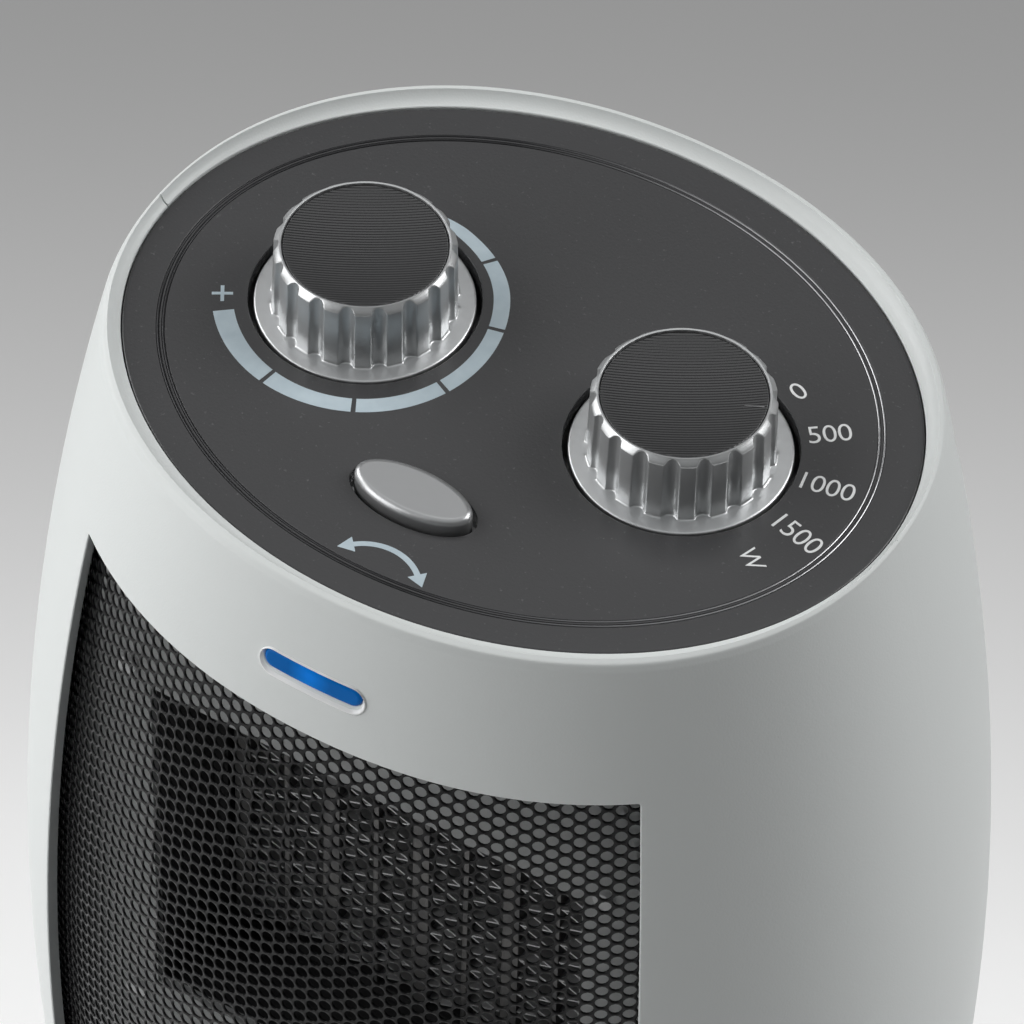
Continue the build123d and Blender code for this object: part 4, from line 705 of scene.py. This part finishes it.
grille_shader = Shader(
    "grille_black", (0.005, 0.005, 0.0055), 0.20, (3500.0, 0.00002), Specular_IOR_Level=0.15
)
for part, (low, high) in zip(("lower", "upper"), sheet_parts):
    sheet = perforated_sheet(f"front_grille_{part}", low, high, grille_shader.material)
    close_sheet(sheet)
    smooth(sheet, 50)
    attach(sheet, "body")
    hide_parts("front_grille")

# Control panel: an oval plate of dark grey plastic with a fine speckle, let into the casing's top.
# Twin grooves with a polished bead run round it; bosses under it stand on the switch chassis.
def box_middle(node):
    """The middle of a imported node's box, seen from above."""
    low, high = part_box(node)
    return (low.x + high.x) / 2, (low.y + high.y) / 2


knob_places = [box_middle("thermostat_knob"), box_middle("selector_knob")]
knob_hole_radius = 0.02044
button_hole_half_width = 0.0122
button_hole_half_depth = 0.0060
plate_steps = 256
plate_profile = (
    (-0.0300, -plate_thickness), (-0.0002, -plate_thickness), (0.0, 0.0002 - plate_thickness),
    (0.0, -0.00035), (-0.00010, -0.00012), (-0.00030, -0.00002), (-0.0006, 0.0),
)
groove_oval = ((0, -0.0006), plate_high.x - 0.00716, plate_high.y - 0.0068)
groove_half_profile = (
    (0.00082, 0.0), (0.00074, -0.00006), (0.00063, -0.00028), (0.00048, -0.00036), (0.00033, -0.00028),
    (0.00022, -0.00006), (0.00014, 0.00006),
)
groove_profile = (
    *groove_half_profile, *((-growth, rise) for growth, rise in groove_half_profile[::-1]), (-0.0200, 0.0)
)
hole_profile = ((0.00040, 0.0002), (0.00016, -0.00002), (0.00006, -0.00010), (0.0, -0.00030), (0.0, -0.0060))


def oval_rings(centre, half_width, half_depth, profile, steps=96):
    """Rings round an oval that grow and rise over the panel by a profile."""
    turns = [2 * math.pi * step / steps for step in range(steps)]
    rings = []
    for growth, rise in profile:
        across, along = half_width + growth, half_depth + growth
        rings.append(
            [
                (centre[0] + across * math.cos(turn), centre[1] + along * math.sin(turn), panel_top + rise)
                for turn in turns
            ]
        )
    return rings


panel = ring_stack(
    "control_panel_plate",
    oval_rings((0, 0), plate_high.x, plate_high.y, plate_profile, plate_steps)
    + oval_rings(*groove_oval, groove_profile, plate_steps),
)
panel_boss_radius = 0.0035
panel_boss_places = [(x * 0.050, y * 0.021) for x in (-1, 1) for y in (-1, 1)]
boss_end = panel_top - plate_thickness / 2
bosses = posts("bosses", panel_boss_places, panel_boss_radius, plate_low.z, boss_end, upright=True)
combine(panel, bosses, "UNION")
holes = [(place, knob_hole_radius, knob_hole_radius) for place in knob_places]
holes.append(((0, box_middle("swing_button")[1]), button_hole_half_width, button_hole_half_depth))
for hole in holes:
    combine(panel, ring_stack("cutter", oval_rings(*hole, hole_profile)), "DIFFERENCE")
smooth(panel)
panel_shader = Shader("panel_grey", (0.056, 0.056, 0.058), 0.27, (1900.0, 0.00004, 0.8, 4.0))
panel_shader.mottled(1300.0, 5.0, 0.66, 0.80, (0.054, 0.054, 0.056), (0.115, 0.115, 0.118))
bead_radius = 0.00021
bead_sink = 0.00010
bead_shader = Shader("polished_grey", (0.20, 0.20, 0.205), 0.2, (900.0, 0.00002), Metallic=0.9)
# The bead's colour is a painted highlight: dark grey towards the front and left, bright grey towards the back
# and right where the lamps catch it; its roughness falls with it.
bead_painted_highlight = bead_shader.span(bead_shader.dot(bead_shader.place, (0.93, 0.37, 0)), -0.01, 0.06)
bead_shader.join(bead_shader.blend(bead_painted_highlight, (0.045, 0.045, 0.047), (0.44, 0.44, 0.45)), "Base Color")
bead_shader.join(bead_shader.span(bead_painted_highlight, 0.0, 1.0, 0.42, 0.26), "Roughness")
beads = []
bead_turns = [math.pi / 4 * step for step in range(8)]
for name, offset in (("outer", 0.00048), ("inner", -0.00048)):
    profile = [
        (offset + bead_radius * math.cos(turn), bead_radius * math.sin(turn) - bead_sink)
        for turn in bead_turns
    ]
    bead = ring_stack(f"panel_bead_{name}", oval_rings(*groove_oval, profile, plate_steps), closed=True)
    smooth(bead, 80)
    beads.append(bead)
for piece in (panel, *beads):
    paint(piece, panel_shader if piece is panel else bead_shader)
    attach(piece, "body")
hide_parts("control_panel")

# Printed marks: a scale ring round the thermostat knob and numbers round the selector, silk-screened.
# The scale swells towards its plus sign; an arc with two heads stands for the swing.
print_thickness = 0.00004
print_sink = 0.00003
scale_steps = 150
scale_start = -140.0
scale_fade = 75.0
scale_end = 112.0
scale_gaps = (-99.5, -62.0, -25.0, 14.1, 54.2)
scale_gap_width = 0.0008
scale_tip_gap = 0.5
scale_radius = 0.025
scale_edge_points = (
    (-140.0, 0.02300, 0.02670), (-61.0, 0.02396, 0.02703), (31.0, 0.02244, 0.02533), (75.0, 0.0219, 0.0243),
)


def scale_edges(angle):
    """The scale's inner and outer radius at an angle, from its measured ends and middle."""
    for (low, low_in, low_out), (high, high_in, high_out) in zip(scale_edge_points, scale_edge_points[1:]):
        if angle <= high:
            share = (angle - low) / (high - low)
            share = share * share * (3 - 2 * share)
            return low_in + (high_in - low_in) * share, low_out + (high_out - low_out) * share
    taper = (scale_end - angle) / (scale_end - scale_fade)
    middle = (high_in + high_out) / 2
    return middle - (middle - high_in) * taper, middle + (high_out - middle) * taper


def flat_plate(name, strips):
    """Thin plates on the panel, each between a strip's two sides."""
    low, high = panel_top - print_sink, panel_top + print_thickness
    stacks = (
        [[(*one, low), (*other, low), (*other, high), (*one, high)] for one, other in zip(*sides)]
        for sides in strips
    )
    return ring_stack(name, *stacks)


def scale_point(radius, angle):
    """A point round the thermostat knob."""
    x, y = knob_places[0]
    return x + radius * math.cos(math.radians(angle)), y + radius * math.sin(math.radians(angle))


scale_strips = []
half_gap = math.degrees(scale_gap_width / 2 / scale_radius)
for start, end in zip((scale_start, *scale_gaps), (*scale_gaps, scale_end)):
    first = start + (half_gap if start != scale_start else 0.0)
    last = end - (half_gap if end != scale_end else scale_tip_gap)
    count = max(4, round(scale_steps * (last - first) / (scale_end - scale_start)))
    angles = [first + (last - first) * step / count for step in range(count + 1)]
    edges = zip(*(scale_edges(angle) for angle in angles))
    scale_strips.append([[scale_point(*spot) for spot in zip(edge, angles)] for edge in edges])
plus_place = Vector((-0.0535, -0.0125))
plus_reach = 0.00185
plus_half_line = 0.00032
plus_turn = math.radians(32.0)
for turn, spans in (
    (plus_turn, ((-plus_reach, plus_reach),)),
    (plus_turn + math.pi / 2, ((-plus_reach, -plus_half_line), (plus_half_line, plus_reach))),
):
    along = Vector((math.cos(turn), math.sin(turn)))
    across = along.orthogonal() * plus_half_line
    for span in spans:
        ends = [plus_place + along * reach for reach in span]
        scale_strips.append(([point + across for point in ends], [point - across for point in ends]))
scale = flat_plate("thermostat_scale", scale_strips)

swing_centre = Vector((0.0032, -0.0560))
swing_radius = 0.0095
swing_half_angle = 42.0
swing_half_line = 0.00052
swing_head_half = 0.0017
swing_head_length = 0.0028
angles = [math.radians(90 + swing_half_angle * (step / 20 - 1)) for step in range(41)]
arc = [Vector((math.cos(angle), math.sin(angle))) for angle in angles]
swing_strips = [
    [[swing_centre + ray * (swing_radius + side * swing_half_line) for ray in arc] for side in (1, -1)]
]
for ray, way in ((arc[0], -1), (arc[-1], 1)):
    foot = swing_centre + ray * swing_radius
    tip = foot + ray.orthogonal() * way * swing_head_length
    reach, point = ray * swing_head_half, ray * print_sink
    swing_strips.append(([foot + reach, tip + point], [foot - reach, tip - point]))
swing_mark = flat_plate("swing_mark", swing_strips)

figure_height = 0.0038
figure_size_share = 1.46
figure_spacing = 0.96
stroke_thinning = 0.00003


def number(name, text, start_radius, angle, height, italic=0.0):
    """Plain figures that run outwards from the selector knob."""
    curve = bpy.data.curves.new(name, "FONT")
    curve.body = text
    curve.size = height * figure_size_share
    curve.offset = -stroke_thinning
    curve.shear = italic
    curve.space_character = figure_spacing
    curve.align_x = "LEFT"
    curve.align_y = "CENTER"
    curve.extrude = (print_thickness + print_sink) / 2
    curve.resolution_u = 6
    words = add_object(name, curve)
    graph = bpy.context.evaluated_depsgraph_get()
    mesh = bpy.data.meshes.new_from_object(words.evaluated_get(graph))
    bpy.data.objects.remove(words)
    low = min(v.co.x for v in mesh.vertices)
    middle = (min(v.co.y for v in mesh.vertices) + max(v.co.y for v in mesh.vertices)) / 2
    turn = Matrix.Rotation(math.radians(angle), 4, "Z")
    shift = Matrix.Translation((start_radius - low, -middle, 0))
    lift = (print_thickness - print_sink) / 2
    mesh.transform(Matrix.Translation((*knob_places[1], panel_top + lift)) @ turn @ shift)
    return add_object(name, mesh)


figures = [
    number("figure_0", "0", 0.0230, 64.2, figure_height),
    number("figure_500", "500", 0.0220, 39.0, figure_height),
    number("figure_1000", "1000", 0.0218, 12.0, figure_height),
    number("figure_1500", "1500", 0.0231, -13.6, figure_height),
    number("figure_watts", "W", 0.0256, -34.0, figure_height * 0.86, 0.12),
]
white_print = Shader("white_print", (0.95, 0.96, 0.96), 0.4, (3000.0, 0.00001))
blue_print = Shader("pale_blue_print", (0.47, 0.53, 0.57), 0.45)
blotch = blue_print.blend(blue_print.grain(420.0, 2.0), (0.46, 0.56, 0.62), (0.60, 0.70, 0.75))
blue_print.join(blotch, "Base Color")
for piece in (scale, swing_mark, *figures):
    paint(piece, blue_print if piece in (scale, swing_mark) else white_print)
    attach(piece, "body")

# Light: a blue lens in the slot in the front of the casing, its bowed face flush with the wall.
# Its middle is painted brighter, a painted glow from the lamp on the board behind it; a raised glossy rim,
# wider below, frames it.
rim_sag = 0.7
light_rim_profile = (
    (0.00100, 0.0006), (0.00100, 0.00002), (0.00094, -0.00022), (0.00082, -0.00034), (0.00066, -0.00030),
    (0.00034, 0.00006), (0.00008, 0.00036), (0.0, 0.0006),
)


def bowed_rings(outline, profile, sag=0.0):
    """Rings that grow from an outline seen from the front and lie along the casing's surface."""
    rings = []
    for growth, inset in profile:
        ring = [(x, height - sag * growth) for x, height in grown(outline, growth)]
        rings.append([(x, -surface_depth(x, height, inset), height) for x, height in ring])
    return rings


light_rim = ring_stack("light_rim", bowed_rings(slot_outline, light_rim_profile, rim_sag), closed=True)
smooth(light_rim, 60)
paint(light_rim, Shader("glossy_white", (0.95, 0.96, 0.96), 0.16, (2000.0, 0.00001)))
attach(light_rim, "body")
lens_gap = 0.00004
lens_half_tall = slot_half_tall - lens_gap
lens_profile = (
    (0.0, 0.0040), (0.0, 0.00035), (-0.00006, 0.00014), (-0.00018, 0.00002), (-0.00040, -0.00008),
    (-0.0008, -0.00014),
)
lens_outline = box_outline(
    slot_half_length - lens_gap, lens_half_tall, slot_height, lens_half_tall * round_end
)
lens = ring_stack("light_lens", bowed_rings(lens_outline, lens_profile))
smooth(lens, 50)
lamp_spot = (-0.0006, -surface_depth(0.0, slot_height, 0.0), slot_height)
lamp_near = 0.0006
lamp_far = 0.0042
lens_shader = Shader(
    "blue_lens", (0.0, 0.080, 0.330), 0.22, (900.0, 0.00001), IOR=1.45, Specular_IOR_Level=0.1
)
# The lens colour is painted light: bright blue round the lamp's spot and deeper blue further off, a painted
# glow.
lamp_distance = lens_shader.node(
    "ShaderNodeVectorMath", {"operation": "DISTANCE"}, in0=lens_shader.place, in1=lamp_spot
)["Value"]
painted_glow_share = lens_shader.span(lamp_distance, lamp_near, lamp_far)
lens_shader.join(lens_shader.blend(painted_glow_share, (0.0, 0.260, 0.950), (0.0, 0.145, 0.520)), "Base Color")
paint(lens, lens_shader)
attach(lens, "body")
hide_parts("light_window")

# Knobs: moulded plastic plated in satin chrome, with a flange, eighteen round flutes and a bright bevel.
# Each is pressed on its switch's shaft and carries a glossy black cap, slightly dished and finely ridged.
knob_foot, knob_rise = (corner.z - panel_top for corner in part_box("thermostat_knob"))
knob_flange_radius = 0.0195
knob_flange_top = -0.00046
knob_foot_radius = 0.01637
knob_shoulder_radius = 0.01605
knob_seat_radius = 0.01459
knob_seat = knob_rise - 0.0025
knob_hollow_radius = 0.0135
knob_hub_radius = 0.0055
knob_bore_radius = 0.0031
knob_hollow_top = knob_rise - 0.0050
flute_count = 18
flute_turns = (-9.2, -6.55)
flute_section = (
    (0.0, 0.00100), (0.0003, 0.00097), (0.0006, 0.00087), (0.00085, 0.00071), (0.00104, 0.00052),
    (0.00118, 0.00034), (0.00128, 0.00020), (0.00138, 0.00009), (0.00150, 0.00002), (0.00168, 0.0),
    (0.0022, 0.0), (0.0027, 0.0),
)
rim_profile = (
    (-0.00008, 0.00010), (-0.00020, 0.00022), (-0.00034, 0.00034), (-0.00048, 0.00048), (-0.00062, 0.00062),
    (-0.00076, 0.00076), (-0.00088, 0.00090), (-0.00098, 0.00104), (-0.00104, 0.00118), (-0.00105, 0.00132),
)
foot_profile = ((0.00045, 0.0), (0.00020, 0.00006), (0.00007, 0.00018), (0.0, 0.00040))
cap_radius = 0.01444
cap_edge = 0.01290
cap_top = 0.01319
cap_dish = 0.0011
dish_radius = cap_radius - 0.00025


def flute_cut(side):
    """How deep a flute cuts at a distance from its middle."""
    for (near, deep), (far, shallow) in zip(flute_section, flute_section[1:]):
        if side <= far:
            return deep + (shallow - deep) * (side - near) / (far - near)
    return 0.0


def knob_rings(place, first_turn):
    """The knob's rings: the cap's seat, the rim, down the barrel, under the flange and up the bore."""
    sides = [side for side, _ in flute_section]
    sides = [-side for side in sides[:0:-1]] + sides
    columns = [
        (first_turn + 2 * math.pi * flute / flute_count + side / knob_shoulder_radius, flute_cut(abs(side)))
        for flute in range(flute_count)
        for side in sides
    ]

    def ring(radius, height, land=0.0, growth=0.0):
        """Points round the knob; a land radius lets the flutes cut in."""
        points = []
        for turn, cut in columns:
            reach = min(radius, land - cut) if land else radius
            spot = place[0] + (reach + growth) * math.cos(turn), place[1] + (reach + growth) * math.sin(turn)
            points.append((*spot, panel_top + height))
        return points

    rim_top_radius = knob_shoulder_radius + rim_profile[-1][0]
    shoulder = knob_rise - rim_profile[-1][1]
    foot = knob_flange_top + foot_profile[-1][1]
    spots = [
        (0.002, knob_seat), (knob_seat_radius, knob_seat), (knob_seat_radius, knob_rise - 0.0002),
        (knob_seat_radius + 0.00006, knob_rise - 0.00005), (knob_seat_radius + 0.00018, knob_rise),
        (rim_top_radius - 0.00002, knob_rise),
        *((rim_top_radius - inset, knob_rise - drop, knob_shoulder_radius) for inset, drop in rim_profile),
    ]
    for step in range(1, 8):
        land = knob_shoulder_radius + (knob_foot_radius - knob_shoulder_radius) * step / 8
        spots.append((land, shoulder + (foot - shoulder) * step / 8, land))
    spots += [
        *(
            (knob_foot_radius, knob_flange_top + rise, knob_foot_radius, growth)
            for growth, rise in reversed(foot_profile)
        ),
        (knob_foot_radius + 0.0007, knob_flange_top - 0.00001),
        (knob_flange_radius - 0.00050, knob_flange_top - 0.00010),
        (knob_flange_radius - 0.00022, knob_flange_top - 0.00016),
        (knob_flange_radius - 0.00006, knob_flange_top - 0.00030),
        (knob_flange_radius, knob_flange_top - 0.00050), (knob_flange_radius, knob_foot + 0.0002),
        (knob_flange_radius - 0.0002, knob_foot), (knob_hollow_radius, knob_foot),
        (knob_hollow_radius, knob_hollow_top), (knob_hub_radius, knob_hollow_top),
        (knob_hub_radius, knob_foot), (knob_bore_radius, knob_foot), (knob_bore_radius, knob_hollow_top),
    ]
    return [ring(*spot) for spot in spots]


def dish_height(radius):
    """The height of the cap's dish over the panel at a radius."""
    return cap_top - cap_dish * (1 - (radius / dish_radius) ** 2)


def cap_rings(place):
    """The cap's rings from its underside round its edge and into its dish."""
    profile = [
        (0.002, knob_seat), (cap_radius, knob_seat), (cap_radius, cap_edge),
        (cap_radius - 0.00008, cap_top - 0.00010), (dish_radius, cap_top),
    ]
    radii = (dish_radius * (1 - step / 16) for step in range(1, 16))
    profile += [(radius, dish_height(radius)) for radius in radii]
    return oval_rings(place, 0, 0, profile, 128)


plating_pits = (2600.0, 0.00001, 0.25)
chrome_shader = Shader("satin_chrome", (0.60, 0.61, 0.615), 0.36, plating_pits, Metallic=0.75)
chrome_shader.worn(500.0, 4.0, 0.30, 0.37)
gloss_shader = Shader("gloss_black", (0.022, 0.022, 0.023), 0.18, IOR=1.75)
cap_line_pitch = 0.0006
cap_line_turn = math.radians(32.0)
cap_lines = gloss_shader.waves((-math.sin(cap_line_turn), math.cos(cap_line_turn), 0), cap_line_pitch)
gloss_shader.bumps(cap_lines, 0.00003, 0.7)
button_shader = Shader("satin_silver", (0.46, 0.465, 0.47), 0.34, plating_pits, Metallic=0.75)
button_shader.worn(700.0, 4.0, 0.28, 0.38)
for first_turn, place, body in zip(flute_turns, knob_places, ("thermostat_dial", "selector_dial")):
    name = body.replace("dial", "knob")
    knob = ring_stack(name + "_fluted", knob_rings(place, math.radians(first_turn)))
    cap = ring_stack(name + "_dished_cap", cap_rings(place))
    for piece, node, shader, slot_name in (
        (knob, name, chrome_shader, "silver_plate"),
        (cap, name + "_cap", gloss_shader, "black_gloss"),
    ):
        smooth(piece, 40)
        paint(piece, shader)
        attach(piece, body)
        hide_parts(node)

# Pointer: a fine line filled with pale ink in the selector's cap, from its middle ring to its edge.
# It stands at the end of the first turn, between nought and the lowest power.
pointer_ends = ((0.0104, 0.4), (0.0138, 1.0))
pointer_half_width = 0.00013
pointer_proud = 0.00003
pointer_sink = 0.0004
pointer_turn = math.radians(21.0)
along = Vector((math.cos(pointer_turn), math.sin(pointer_turn)))
across = along.orthogonal() * pointer_half_width
rings = [[], []]
for (radius, share), side in [(end, -1) for end in pointer_ends] + [(end, 1) for end in pointer_ends[::-1]]:
    spot = Vector(knob_places[1]) + along * radius + across * side * share
    for ring, lift in zip(rings, (-pointer_sink, pointer_proud)):
        ring.append((*spot, panel_top + dish_height(radius) + lift))
pointer = ring_stack("selector_pointer", rings)
paint(pointer, Shader("pointer_ink", (0.20, 0.20, 0.205), 0.4, (3000.0, 0.00001)))
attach(pointer, "selector_dial")

# Outlet and element: a moulded baffle and duct guide the air through a ceramic heating element.
# Its aluminium tubes hold fired stones and carry folded fins, clamped in a heat-proof frame.


def dress(shader, *names):
    """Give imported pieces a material."""
    for name in names:
        paint(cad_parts[name], shader)


dress(button_shader, "swing_button")
# The baffle's white plastic is coloured mid grey, painted shade for its place in shadow behind the grille.
dress(Shader("shaded_polypropylene", (0.40, 0.41, 0.41), 0.5, (2200.0, 0.00003)), "front_baffle")
black_shader = Shader("black_polyamide", (0.014, 0.014, 0.015), 0.5, (2400.0, 0.00004))
black_shader.worn(900.0, 4.0, 0.42, 0.60)
dress(black_shader, "air_duct", "element_frame", "thermal_cutout")
sheet_shader = Shader("rolled_aluminium", (0.62, 0.625, 0.63), 0.42, Metallic=0.85)
sheet_shader.worn(300.0, 5.0, 0.34, 0.56)
sheet_shader.bumps(sheet_shader.waves((1, 0, 0), 0.0004), 0.00001, 0.5)
dress(sheet_shader, "element_fins", "duct_screws")
# The tubes' aluminium is coloured dark grey with a lighter mottle, far darker than the fins' aluminium.
tube_shader = Shader("heat_stained_aluminium", (0.09, 0.09, 0.092), 0.45, Metallic=0.8)
tube_shader.mottled(160.0, 4.0, 0.35, 0.65, (0.13, 0.13, 0.132), (0.22, 0.215, 0.21))
tube_shader.bumps(tube_shader.waves((1, 0, 0), 0.0004), 0.00001, 0.5)
dress(tube_shader, "element_tubes", "element_dividers")
stone_shader = Shader("fired_ceramic", (0.30, 0.28, 0.26), 0.8, (3200.0, 0.00005, 1.0, 5.0))
stone_shader.mottled(2400.0, 5.0, 0.45, 0.65, (0.34, 0.32, 0.30), (0.16, 0.15, 0.14))
dress(stone_shader, "ceramic_stones")

# Metal parts: screws, springs, shafts, brackets and the switch chassis are zinc-plated steel.
# The plating is mottled where the blanks were rolled and stamped; each part is screwed or pressed in place.
zinc_pits = (3000.0, 0.00001, 1.0, 4.0)
zinc_shader = Shader("zinc_plated_steel", (0.50, 0.51, 0.52), 0.36, zinc_pits, Metallic=1.0)
zinc_cloud = zinc_shader.mottled(420.0, 5.0, 0.35, 0.65, (0.46, 0.47, 0.49), (0.60, 0.60, 0.58))
zinc_shader.join(zinc_shader.span(zinc_cloud, 0.0, 1.0, 0.30, 0.46), "Roughness")
dress(
    zinc_shader, "base_screws", "pivot_retainer", "tip_spring", "element_terminals", "shell_screws",
    "front_bearing_bracket", "rear_bearing_bracket", "motor_screws", "floor_screws", "swing_motor",
    "control_chassis", "panel_screws", "switch_nuts", "button_spring", "swing_shaft", "motor_shaft",
    "thermostat_shaft", "selector_shaft",
)

# Fan and its motor: a shaded-pole motor of stacked laminations, with a coil of enamelled copper on one leg.
# Sintered bushes in two brackets carry the shaft, and the moulded wheel turns in its shroud.
core_shader = Shader("stacked_laminations", (0.22, 0.22, 0.225), 0.45, Metallic=0.9)
core_shader.bumps(core_shader.waves((0, 1, 0), 0.0005), 0.00006)
core_shader.mottled(380.0, 5.0, 0.55, 0.75, (0.20, 0.20, 0.205), (0.24, 0.15, 0.10))
dress(core_shader, "motor_core", "motor_rotor")
wire_shader = Shader("enamelled_copper", (0.56, 0.20, 0.08), 0.28, Metallic=0.85)
wire_shader.bumps(wire_shader.waves((1, 0, 0), 0.0003), 0.00008)
wire_shader.mottled(600.0, 3.0, 0.35, 0.65, (0.48, 0.15, 0.05), (0.64, 0.26, 0.11))
dress(wire_shader, "coil_winding")
bronze_shader = Shader("sintered_bronze", (0.42, 0.28, 0.11), 0.5, (5200.0, 0.00003), Metallic=0.9)
dress(bronze_shader, "motor_bushes")
nylon_shader = Shader("natural_nylon", (0.70, 0.68, 0.60), 0.42, (1800.0, 0.00003))
dress(nylon_shader, "coil_bobbin", "glide_ring", "thermostat", "swing_crank", "crank_roller")
dress(
    black_shader, "fan_shroud", "fan_impeller", "selector_switch", "latching_switch", "tip_switch",
    "tip_plunger",
)
board_shader = Shader("circuit_board", (0.02, 0.10, 0.04), 0.35)
board_threads = [board_shader.waves(way, 0.0005) for way in ((1, 0, 0), (0, 0, 1))]
board_shader.bumps(board_shader.math("MULTIPLY", *board_threads), 0.00002)
dress(board_shader, "light_board")

# Base and floor: a shallow white foot with a black cover underneath, on four soft feet.
# The inlet grille and the casing's floor are of the same white plastic, clipped and screwed in.
dress(white_shader, "base_housing", "rear_grille", "body_floor", "terminal_block")
dress(black_shader, "base_cover")
rubber_shader = Shader("soft_rubber", (0.020, 0.020, 0.021), 0.85, (1500.0, 0.00008, 1.0, 5.0))
dress(rubber_shader, "rubber_feet", "cord_gland")
